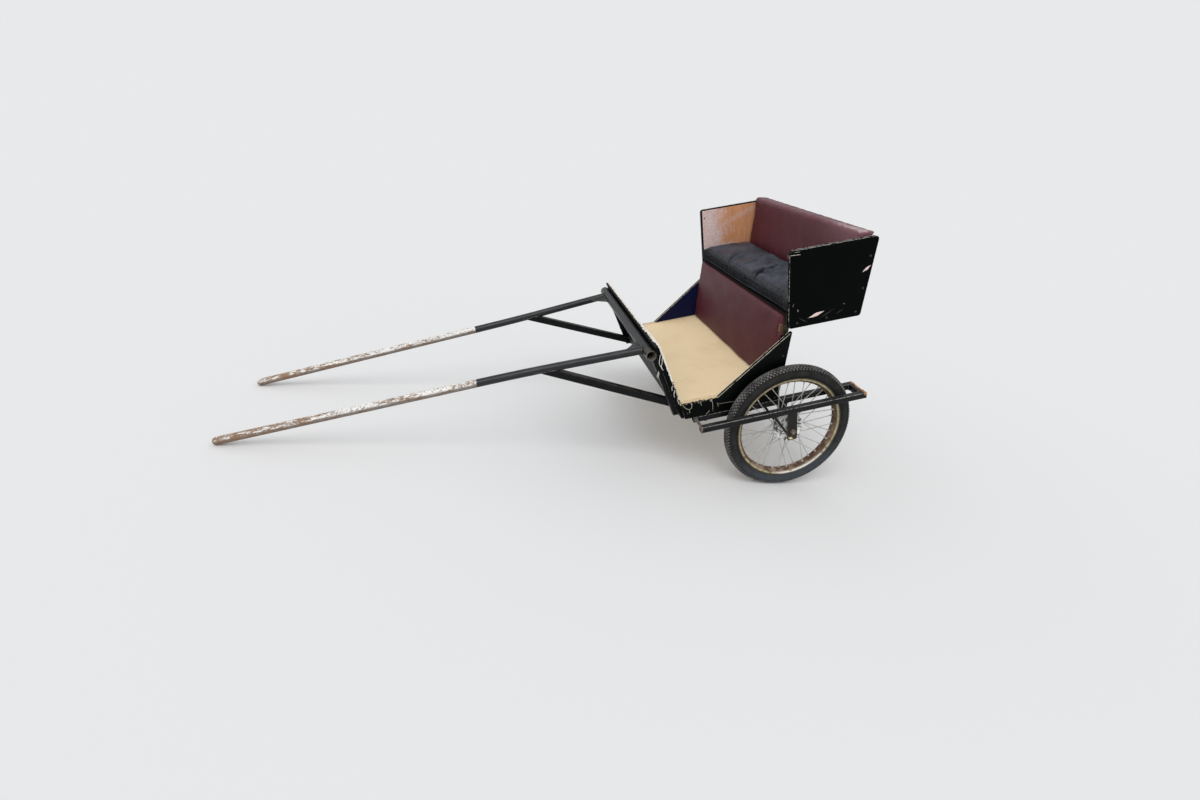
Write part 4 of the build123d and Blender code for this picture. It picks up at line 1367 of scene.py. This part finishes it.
def strut_line(hand):
    """The foot, the head and the direction of one strut."""
    share = STRUT_HEAD_AT / SHAFT_BEND[0]
    head = on_shafts(STRUT_HEAD_AT, hand * (SHAFT_ROOT[1] + (SHAFT_BEND[1] - SHAFT_ROOT[1]) * share))
    foot = Vector((dash_x(STRUT_FOOT[1]) + DASH_DEPTH, hand * STRUT_FOOT[0], STRUT_FOOT[1]))
    return foot, head, (head - foot).normalized()


def strut_welds():
    """Beads beside each strut's head under its shaft, and round its foot on the dash."""
    beads = []
    for number, (_, hand) in enumerate(SIDES):
        foot, head, run = strut_line(hand)
        across = Vector((0, 0, 1)).cross(run).normalized()
        along = shaft_run(hand)
        down = along.cross(across).normalized()
        down = down if down.z < 0 else -down
        for face in (1, -1):
            middle = head + across * (face * STRUT_HALF) + down * 0.0062
            reach = along * 0.036
            beads.append(weld([middle - reach, middle + reach * 0.8], 0.0026, 180 + number * 9 + face))
        up = run.cross(across).normalized()
        corners = []
        for right, rise in ((1, 1), (-1, 1), (-1, -1), (1, -1), (1, 1)):
            start = foot + across * (right * STRUT_HALF) + up * (rise * STRUT_HALF)
            reach = (start - foot).dot(DASH_FRONT) / run.dot(DASH_FRONT)
            corners.append(start - run * reach + DASH_FRONT * 0.0004)
        beads.append(weld(corners, 0.0024, 190 + number, True))
    return beads


TEAR_THICKNESS = 0.0008
TEAR_RUN_OUT = 0.12


def ragged_strip(points, across, width, seed, kept, wander, step=0.004):
    """A torn strip along an edge: its free border wanders, and it runs out to nothing in places."""
    run = spread(points, step)
    line = trace("tear", run)
    with picked(line, "EDGE"):
        bpy.ops.mesh.extrude_region_move(TRANSFORM_OT_translate={"value": Vector(across) * width})
    where, _ = places(line)
    draw = random.Random(seed)
    half = len(run)
    out = np.array(Vector(across))
    along = np.arange(half)[:, None] * step
    noise = ripple(along, 0.03, seed) * 0.5
    thin = 0.5 + 0.34 * ripple(along, 0.07, seed + 500) + 0.22 * ripple(along, 0.019, seed + 700)
    for number in range(half):
        tear = draw.uniform(-wander, wander) + noise[number] * wander
        where[half + number] += out * width * tear
        where[number] += out * width * draw.uniform(-0.12, 0.12) * wander
        spare = kept - thin[number] - draw.uniform(-0.18, 0.18)
        if kept < 1 and spare < TEAR_RUN_OUT:
            narrow = max(0.0, spare / TEAR_RUN_OUT)
            middle = (where[half + number] + where[number]) / 2
            for end in (number, half + number):
                where[end] = middle + (where[end] - middle) * narrow
    move_to(line, where)
    clean(line)
    with picked(line, "FACE"):
        bpy.ops.mesh.dissolve_degenerate(threshold=0.00005)
        bpy.ops.mesh.delete_loose(use_verts=True, use_edges=True)
    apply(line, "SOLIDIFY", thickness=TEAR_THICKNESS, offset=0)
    return line


THICK_THREAD = 0.001


def thread(points, radius):
    """One loose thread."""
    return tube("thread", points, radius, 4)


def fringe(start, end, count, length, out, seed):
    """Short threads that hang from an edge at random places."""
    draw = random.Random(seed)
    start, end, out = Vector(start), Vector(end), Vector(out)
    strands = []
    for _ in range(count):
        root = start.lerp(end, draw.random())
        size = length * draw.uniform(0.35, 1.0)
        side = (end - start).normalized() * draw.uniform(-0.5, 0.5) * size
        middle = root + out * size * draw.uniform(0.3, 0.6) + side * 0.4
        tip = root + out * size * draw.uniform(0.3, 0.8) + side
        tip = tip - Vector((0, 0, size * draw.uniform(0.2, 0.8)))
        strands.append(thread([root, middle, tip], 0.0005))
    return strands


def dash_vinyl():
    """The padded vinyl on the dash board's rear face, fuller towards its near end."""
    depth, foot, half = 0.009, FLOOR_TOP + 0.004, DASH_HALF_WIDTH
    piece = new_block("dash_vinyl_cover", (-depth, -half, foot), (0.0015, half, DASH_TOP + 0.0003))
    with picked(piece, "FACE"):
        bpy.ops.mesh.subdivide(number_cuts=30)
    where, _ = places(piece)
    full = ramp(where[:, 1], 0.05, 0.31)
    swell = np.minimum(where[:, 0], 0) * (0.35 + 0.65 * full * full * (3 - 2 * full))
    where[:, 0] = np.maximum(where[:, 0], 0) + swell * (1 + 0.12 * ripple(where[:, 1:], 0.11, 321))
    where[:, 0] += dash_x(where[:, 2])
    move_to(piece, where)
    bevel_all(piece, 0.0018, 2)
    return smooth(piece)


def dash_tears():
    """The pale backing that shows along the dash board's worn rear edge, with its loose threads."""
    top, foot, half = DASH_TOP + 0.001, FLOOR_TOP + 0.004, DASH_HALF_WIDTH
    rear = -0.0036
    fuller = 0.0058
    forward = (1, 0, 0)
    strips = []
    for first, last, width, kept, seed in (
        # stretch of the top edge along Y, width, share kept
        (-0.455, -0.2, 0.0036, 0.84, 201), (-0.2, 0.1, 0.006, 0.98, 202), (0.1, 0.22, 0.008, 1.0, 203),
        (0.22, 0.34, 0.0104, 1.0, 204), (0.34, 0.41, 0.011, 1.0, 206), (0.41, 0.457, 0.007, 0.98, 205),
    ):
        shifts = [rear - fuller * min(1, max(0, (y - 0.08) / 0.25)) for y in (first, last)]
        ends = ((dash_x(DASH_TOP) + shifts[0], first, top), (dash_x(DASH_TOP) + shifts[1], last, top))
        strips.append(ragged_strip(ends, forward, width, seed, kept, 0.38, step=0.0032))
        drop = (-DASH_SLOPE * 0.4, 0, -1)
        strips.append(ragged_strip(ends, drop, width * 0.7, seed + 20, kept, 0.5))
    for hand, seed in ((1, 231), (-1, 232)):
        y = hand * (half + 0.0006)
        back = rear - (fuller if hand > 0 else 0)
        upper, lower = (dash_x(top) + back, y, top), (dash_x(0.3) + back, y, 0.3)
        last = (dash_x(foot) + back, y, foot)
        strips.append(ragged_strip((upper, lower), forward, 0.0046, seed, 0.97, 0.4))
        strips.append(ragged_strip((lower, last), forward, 0.0026, seed + 5, 0.34, 0.9, step=0.0034))
    near = half + 0.002
    threads = [
        # places in x, how far out from the near side, and z
        [(0.491, 0, 0.405), (0.499, 0.004, 0.383), (0.5, 0.002, 0.362), (0.49, 0.006, 0.35)],
        [(0.486, 0, 0.389), (0.489, 0.005, 0.368), (0.496, 0.004, 0.352), (0.487, 0.008, 0.342)],
        [(0.505, 0, 0.338), (0.509, 0.004, 0.329), (0.514, 0.003, 0.318)],
        [(0.503, 0, 0.332), (0.506, 0.003, 0.324), (0.511, 0.005, 0.312)],
        [(0.455, 0, 0.265), (0.461, 0.004, 0.258), (0.459, 0.006, 0.247)],
        [(0.448, 0, 0.243), (0.455, 0.003, 0.228), (0.452, 0.005, 0.216)],
    ]
    strips += [thread([(x, near + out, z) for x, out, z in points], THICK_THREAD) for points in threads]
    tufts = [
        [(0.498, 0.262, top), (0.492, 0.258, top + 0.01), (0.486, 0.252, top + 0.018)],
        [(0.498, 0.262, top), (0.497, 0.27, top + 0.014), (0.493, 0.274, top + 0.024)],
        [(0.497, 0.272, top), (0.489, 0.285, top + 0.006), (0.48, 0.292, top + 0.004)],
        [(0.497, 0.334, top), (0.489, 0.34, top + 0.005), (0.483, 0.338, top + 0.002)],
    ]
    strips += [thread(points, THICK_THREAD) for points in tufts]
    strips += fringe((dash_x(0.24), near, 0.24), (dash_x(0.18), near, 0.18), 7, 0.014, (0.3, 1, 0), 240)
    strips += fringe((dash_x(top), -0.1, top), (dash_x(top), 0.42, top), 16, 0.009, (-0.7, 0, 0.9), 241)
    return join("dash_tears", strips)


def floor_tears():
    """The floor sheet's ragged near edge over the side panel."""
    level = FLOOR_TOP + 0.0005
    strips = []
    for hand, seed in ((1, 251), (-1, 257)):
        y = hand * (SIDE_INNER_Y - 0.004)
        out = (0, hand, 0)
        for first, last, width, wander in (
            (0.272, 0.33, 0.016, 0.25), (0.33, 0.375, 0.011, 0.5), (0.375, 0.432, 0.013, 0.6),
        ):
            seed += 1
            ends = ((first, y, level), (last, y, level))
            strips.append(ragged_strip(ends, out, width, seed, 1.0, wander))
    return join("floor_tears", strips)


def edge_threads():
    """Cream threads along the footwell's near edge, and the pale lines along the sides' upper edges."""
    edge, outer = FLOOR_TOP + 0.001, SIDE_OUTER_Y
    strands = [thread(points, 0.0006) for points in (
        [(0.428, 0.458, edge), (0.42, 0.478, 0.17), (0.403, 0.489, 0.158), (0.388, 0.484, 0.166),
         (0.385, 0.47, edge)],
        [(0.403, 0.489, 0.158), (0.4, 0.49, 0.15), (0.402, 0.488, 0.145)],
        [(0.352, 0.466, edge), (0.35, 0.474, 0.174), (0.348, 0.4755, 0.16)],
        [(0.308, 0.468, edge + 0.001), (0.303, 0.476, 0.172), (0.301, 0.4755, 0.15), (0.303, 0.4755, 0.132)],
        [(0.308, 0.468, edge + 0.001), (0.314, 0.476, 0.178), (0.309, 0.479, 0.168), (0.303, 0.474, 0.176)],
        [(0.281, 0.4735, 0.156), (0.279, 0.4755, 0.148), (0.28, 0.4745, 0.139)],
        [(0.331, 0.4745, 0.117), (0.321, 0.4755, 0.123), (0.316, 0.4745, 0.13)],
    )]
    strands += fringe((0.3, 0.468, edge), (0.425, 0.468, edge), 12, 0.014, (0, 1, 0), 262)
    slope_end, peak = 0.279, 0.393
    peak_x = seat_front_x(peak) - 0.0475
    rise = Vector((peak_x - slope_end, 0, peak - FLOOR_TOP)).normalized()
    up = Vector((rise.z, 0, -rise.x))
    for hand, seed in ((1, 264), (-1, 270)):
        for y, width, kept, first, last in (
            (SIDE_INNER_Y + 0.0006, 0.003, 0.97, 0.0, 0.5),
            (SIDE_INNER_Y + 0.0006, 0.0018, 0.8, 0.5, 0.98),
            (outer - 0.003, 0.0017, 0.85, 0.0, 0.98),
        ):
            seed += 1
            start = Vector((slope_end, hand * y, FLOOR_TOP))
            end = Vector((peak_x, hand * y, peak))
            ends = (start.lerp(end, first) + up * 0.0005, start.lerp(end, last) + up * 0.0005)
            strands.append(ragged_strip(ends, (0, hand, 0), width, seed, kept, 0.35))
    return join("edge_threads", strands)


def arm_tears():
    """The broken pale lines along the seat ends' upper and front edges, and the folded front corner."""
    strips = []
    rear = back_x(ARM_TOP)
    for hand, seed, share in ((1, 281, 1.0), (-1, 291, 0.3)):
        level = ARM_TOP + 0.0004
        front = ARM_FRONT_X + 0.0004
        for y, width, kept in ((ARM_OUTER_Y - 0.002, 0.0014, 0.62), (ARM_INNER_Y + 0.0006, 0.0014, 0.5)):
            seed += 1
            ends = ((ARM_FRONT_X - 0.013, hand * y, level), (rear + 0.014, hand * y, level))
            strips.append(ragged_strip(ends, (0, hand, 0), width, seed, kept * share, 0.5, step=0.0055))
        for y, width, kept in ((ARM_OUTER_Y - 0.0016, 0.0011, 0.46), (ARM_INNER_Y + 0.0004, 0.0009, 0.2)):
            seed += 1
            ends = ((front, hand * y, ARM_TOP - 0.014), (front, hand * y, ARM_BOTTOM + 0.016))
            strips.append(ragged_strip(ends, (0, hand, 0), width, seed, kept * share, 0.5, step=0.0055))
        side = hand * (ARM_OUTER_Y + 0.0003)
        for ends, width, kept in (
            (((-0.014, side, 0.6945), (-0.052, side, 0.6925)), 0.0012, 0.72),
            (((-0.016, side, 0.704), (-0.05, side, 0.703)), 0.0009, 0.55),
        ):
            seed += 1
            strips.append(ragged_strip(ends, (0, 0, 1), width, seed, kept * share, 0.6))
    return join("arm_tears", strips)


def panel_tears():
    """Tan foam where the seat panel's near edge has torn."""
    foam = new_block("foam", (-0.0055, 0.448, 0.4), (0.0005, 0.453, 0.426))
    with picked(foam, "FACE"):
        bpy.ops.mesh.subdivide(number_cuts=5)
    where, normals = places(foam)
    lean = (where[:, 2] - 0.4235) * -SEAT_SLOPE
    where[:, 0] += lean + 0.012
    where += normals * (ripple(where, 0.014, 301) * 0.0016 + ripple(where, 0.006, 302) * 0.0009)[:, None]
    where[:, 1] = np.minimum(where[:, 1], 0.4575)
    move_to(foam, where)
    return smooth(foam, 80)


def panel_threads():
    """The threads of the seat panel's torn edge."""
    edge = 0.4555
    strands = [thread(points, 0.0007) for points in (
        [(0.009, edge, 0.432), (0.003, edge + 0.005, 0.418), (0.006, edge + 0.004, 0.4),
         (0.001, edge + 0.004, 0.386)],
        [(0.012, edge, 0.416), (0.014, edge + 0.004, 0.402), (0.009, edge + 0.003, 0.388)],
    )]
    strands += fringe((0.008, edge, 0.43), (0.016, edge, 0.39), 5, 0.012, (0.4, 1, 0), 306)
    return join("panel_threads", strands)


def back_tacks():
    """A row of covered tacks along the top of the back, on its rear face, which holds its cover behind."""
    draw = random.Random(311)
    count, half, level = 27, 0.445, 0.69
    rear = back_x(level) + 0.0002
    behind = (-cos(BACK_LEAN), 0, -sin(BACK_LEAN))
    spots = []
    for number in range(count):
        y = -half + 2 * half * number / (count - 1) + draw.uniform(-0.004, 0.004)
        spots.append((Vector((rear, y, level)), behind))
    return set_out("back_tacks", cap_head(radius=0.0042, height=0.0022), spots)


def screw_heads():
    """Domed screws, painted over, in the sides, the seat ends and the dash."""
    spots = []
    for _, hand in SIDES:
        out = (0, hand, 0)
        spots += [(Vector((x, hand * SIDE_OUTER_Y, z)), out) for x, z in (
            (0.405, 0.136), (0.3, 0.124), (0.17, 0.124), (0.04, 0.124), (0.028, 0.15), (0.005, 0.3))]
        spots += [(Vector((x, hand * ARM_OUTER_Y, z)), out) for x, z in (
            (-0.045, 0.43), (-0.165, 0.43), (-0.285, 0.43), (-0.308, 0.52), (-0.33, 0.64))]
        post_y = CROSSBAR_HALF - 0.035
        for z in (0.2, 0.31):
            spots.append((Vector((dash_x(z), hand * post_y, z)), -DASH_FRONT))
            spots.append((Vector((dash_x(z) + DASH_DEPTH + POST_DEPTH, hand * post_y, z)), DASH_FRONT))
    return set_out("screw_heads", cap_head(radius=0.0048, height=0.002), spots)


def strut_bolts():
    """Hexagon bolts beside each strut's foot, and under each inner rail."""
    spots = []
    for _, hand in SIDES:
        for side in (1, -1):
            z = STRUT_FOOT[1]
            y = hand * STRUT_FOOT[0] + side * 0.03
            spots.append((Vector((dash_x(z) + DASH_DEPTH, y, z)), DASH_FRONT))
        for x in (0.33, 0.14, -0.02):
            spots.append((Vector((x, hand * INNER_RAIL_Y, RAIL_UNDER)), (0, 0, -1)))
    return set_out("frame_bolts", hex_head(across=0.013, height=0.0055), spots)


def pipe_hook():
    """A bent wire hook welded to the near inner rail by its axle plate."""
    middle = Vector((0.03, INNER_RAIL_Y + 0.0135, 0.098))
    points = [
        (0, 0, 0), (0.002, 0.004, 0.012), (-0.008, 0.006, 0.02), (-0.017, 0.005, 0.013), (-0.016, 0.003, 0.004),
    ]
    hook = tube("wire_hook", [middle + Vector(point) for point in points], 0.0016, 8)
    return smooth(hook)


# Build

def main():
    materials = {
        "frame": frame_black(), "crossbar": frame_black("crossbar_black", 0.36, 0.18),
        "strut": frame_black("strut_black", 0.14, 0.25), "plate": plate_black(),
        "shaft": shaft_white(), "side": side_black(), "arm": arm_black(), "dash": dash_black(),
        "floor": floor_pale(), "maroon": maroon_vinyl(),
        "cushion": cushion_black(), "tyre": tyre_rubber(), "tread": tread_dusty(), "rim": rim_rusty(),
        "spoke": spoke_metal(), "white": flaking_white(), "steel": dull_steel(), "timber": dark_timber(),
        "backing": plain_material("pale_backing", (248, 243, 232), 0.85, 60, 0.008),
        "thread": plain_material("cream_thread", (232, 222, 196), 0.9, 61),
        "foam": plain_material("tan_foam", (132, 100, 68), 0.95, 62, 0.004),
        "grey": plain_material("worn_lines", (214, 211, 206), 0.7, 63, 0.006),
        "tack": plain_material("tack_maroon", (74, 36, 46), 0.4, 64),
        "screw": plain_material("painted_screw", (13, 14, 15), 0.5, 65),
    }
    dress_frame(materials)
    cushion = seat_cushion()
    piping = cushion_seams(cushion)
    finish_piece(cushion, materials["cushion"], "cart", "cushion_vinyl", "seat_cushion")
    finish_piece(piping, materials["cushion"], "cart", "cushion_vinyl")
    back = finish_piece(back_pad(), materials["maroon"], "cart", "seat_vinyl", "back_pad")
    panel = finish_piece(seat_panel(), materials["maroon"], "cart", "seat_vinyl", "seat_front_panel")
    for piece, finish, slot in (
        (dash_vinyl(), "dash", "panel_paint"),
        (dash_tears(), "backing", "panel_paint"),
        (floor_tears(), "floor", "floor_sheet"),
        (edge_threads(), "thread", "floor_sheet"),
        (arm_tears(), "grey", "panel_paint"),
        (panel_tears(), "foam", "seat_vinyl"),
        (panel_threads(), "foam", "seat_vinyl"),
        (back_tacks(), "tack", "seat_vinyl"),
        (screw_heads(), "screw", "panel_paint"),
        (strut_bolts(), "frame", "frame_paint"),
        (weld_beads(), "frame", "frame_paint"),
        (pipe_hook(), "steel", "axle_steel"),
    ):
        finish_piece(piece, materials[finish], "cart", slot)
    for side, hand in SIDES:
        wheel = f"wheel_{side}"
        finish_piece(tyre(side, hand), materials["tyre"], wheel, "tyre_rubber", f"tyre_{side}")
        finish_piece(tread_blocks(side, hand), materials["tread"], wheel, "tyre_rubber")
        finish_piece(nipples(side, hand), materials["spoke"], wheel, "hub_metal")
        finish_piece(valve(side, hand), materials["tyre"], wheel, "tyre_rubber")
        finish_piece(drum_cover(side, hand), materials["white"], wheel, "hub_metal")
    studio()


NODE_FINISHES = {
    # node's first word or words: material
    "crossbar": "crossbar", "strut": "strut", "dash_post": "strut",
    "inner_rail": "frame", "outer_rail": "frame", "rear_link": "frame", "front_link": "frame",
    "seat_post": "frame", "hanger": "plate", "shaft": "shaft",
    "dash_board": "dash", "side_panel": "side", "arm_panel": "arm", "back_board": "side",
    "floor_front_rail": "timber", "floor_rear_rail": "timber",
    "seat_bearer": "timber", "seat_board": "timber",
    "floor_board": "floor", "seat_front_panel": "maroon", "back_pad": "maroon", "seat_cushion": "cushion",
    "spindle": "steel", "tyre": "tyre", "rim": "rim", "hub": "spoke",
}


def dress_frame(materials):
    """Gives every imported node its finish."""
    for name, node in frame["nodes"].items():
        finish = next(made for start, made in NODE_FINISHES.items() if name.startswith(start))
        node.data.materials.clear()
        node.data.materials.append(materials[finish])


# The camera stands where the photograph was taken from, given here in the level cart's terms
CAMERA_PLACE = Vector((0.99515, 2.47233, 1.32112))
CAMERA_RIGHT = Vector((-0.97341, 0.18967, -0.12847))
CAMERA_DOWN = Vector((0.20056, 0.43459, -0.87802))
CAMERA_LENS = 17.982
SENSOR_WIDTH = 36.0
FLOOR_SIZE = 120.0
FLOOR_TONE = (0.8, 0.8, 0.8, 1)
BACKDROP_TONE = (0.8097, 0.8172, 0.8252, 1)


def studio():
    """The camera, a plain pale floor and soft light."""
    scene = bpy.context.scene
    scene.view_settings.view_transform = "Standard"
    camera = bpy.data.objects.new("camera", bpy.data.cameras.new("camera"))
    scene.collection.objects.link(camera)
    camera.data.lens = CAMERA_LENS
    camera.data.sensor_width = SENSOR_WIDTH
    camera.data.sensor_fit = "HORIZONTAL"
    right, up = CAMERA_RIGHT.normalized(), -CAMERA_DOWN.normalized()
    turn = Matrix((right, up, right.cross(up))).transposed().to_4x4()
    camera.matrix_world = PARKED @ Matrix.Translation(CAMERA_PLACE) @ turn
    camera.data.clip_start = 0.05
    camera.data.clip_end = 200
    scene.camera = camera

    bpy.ops.object.select_all(action="DESELECT")
    bpy.ops.mesh.primitive_plane_add(size=FLOOR_SIZE)
    floor = bpy.context.object
    floor.name = "floor"
    pale = bpy.data.materials.new("studio_floor")
    pale.use_nodes = True
    shader = pale.node_tree.nodes["Principled BSDF"]
    shader.inputs["Base Color"].default_value = FLOOR_TONE
    shader.inputs["Roughness"].default_value = 0.9
    shader.inputs["Specular IOR Level"].default_value = 0.0
    floor.data.materials.append(pale)

    world = bpy.data.worlds.new("studio")
    scene.world = world
    world.use_nodes = True
    nodes, links = world.node_tree.nodes, world.node_tree.links
    sky = nodes["Background"]
    sky.inputs["Color"].default_value = (0.975, 0.985, 1.0, 1)
    sky.inputs["Strength"].default_value = 0.75
    seen = nodes.new("ShaderNodeBackground")
    seen.inputs["Color"].default_value = BACKDROP_TONE
    path = nodes.new("ShaderNodeLightPath")
    rays = path.outputs["Is Camera Ray"]
    for kind in ("Is Glossy Ray", "Is Transmission Ray"):
        either = nodes.new("ShaderNodeMath")
        either.operation = "MAXIMUM"
        links.new(rays, either.inputs[0])
        links.new(path.outputs[kind], either.inputs[1])
        rays = either.outputs[0]
    choice = nodes.new("ShaderNodeMixShader")
    links.new(rays, choice.inputs[0])
    links.new(sky.outputs[0], choice.inputs[1])
    links.new(seen.outputs[0], choice.inputs[2])
    links.new(choice.outputs[0], nodes["World Output"].inputs["Surface"])
    sun = bpy.data.lights.new("soft_sun", "SUN")
    sun.energy = 1.1
    sun.angle = radians(40)
    lamp = bpy.data.objects.new("soft_sun", sun)
    scene.collection.objects.link(lamp)
    lamp.rotation_euler = (radians(-32), radians(18), 0)


main()
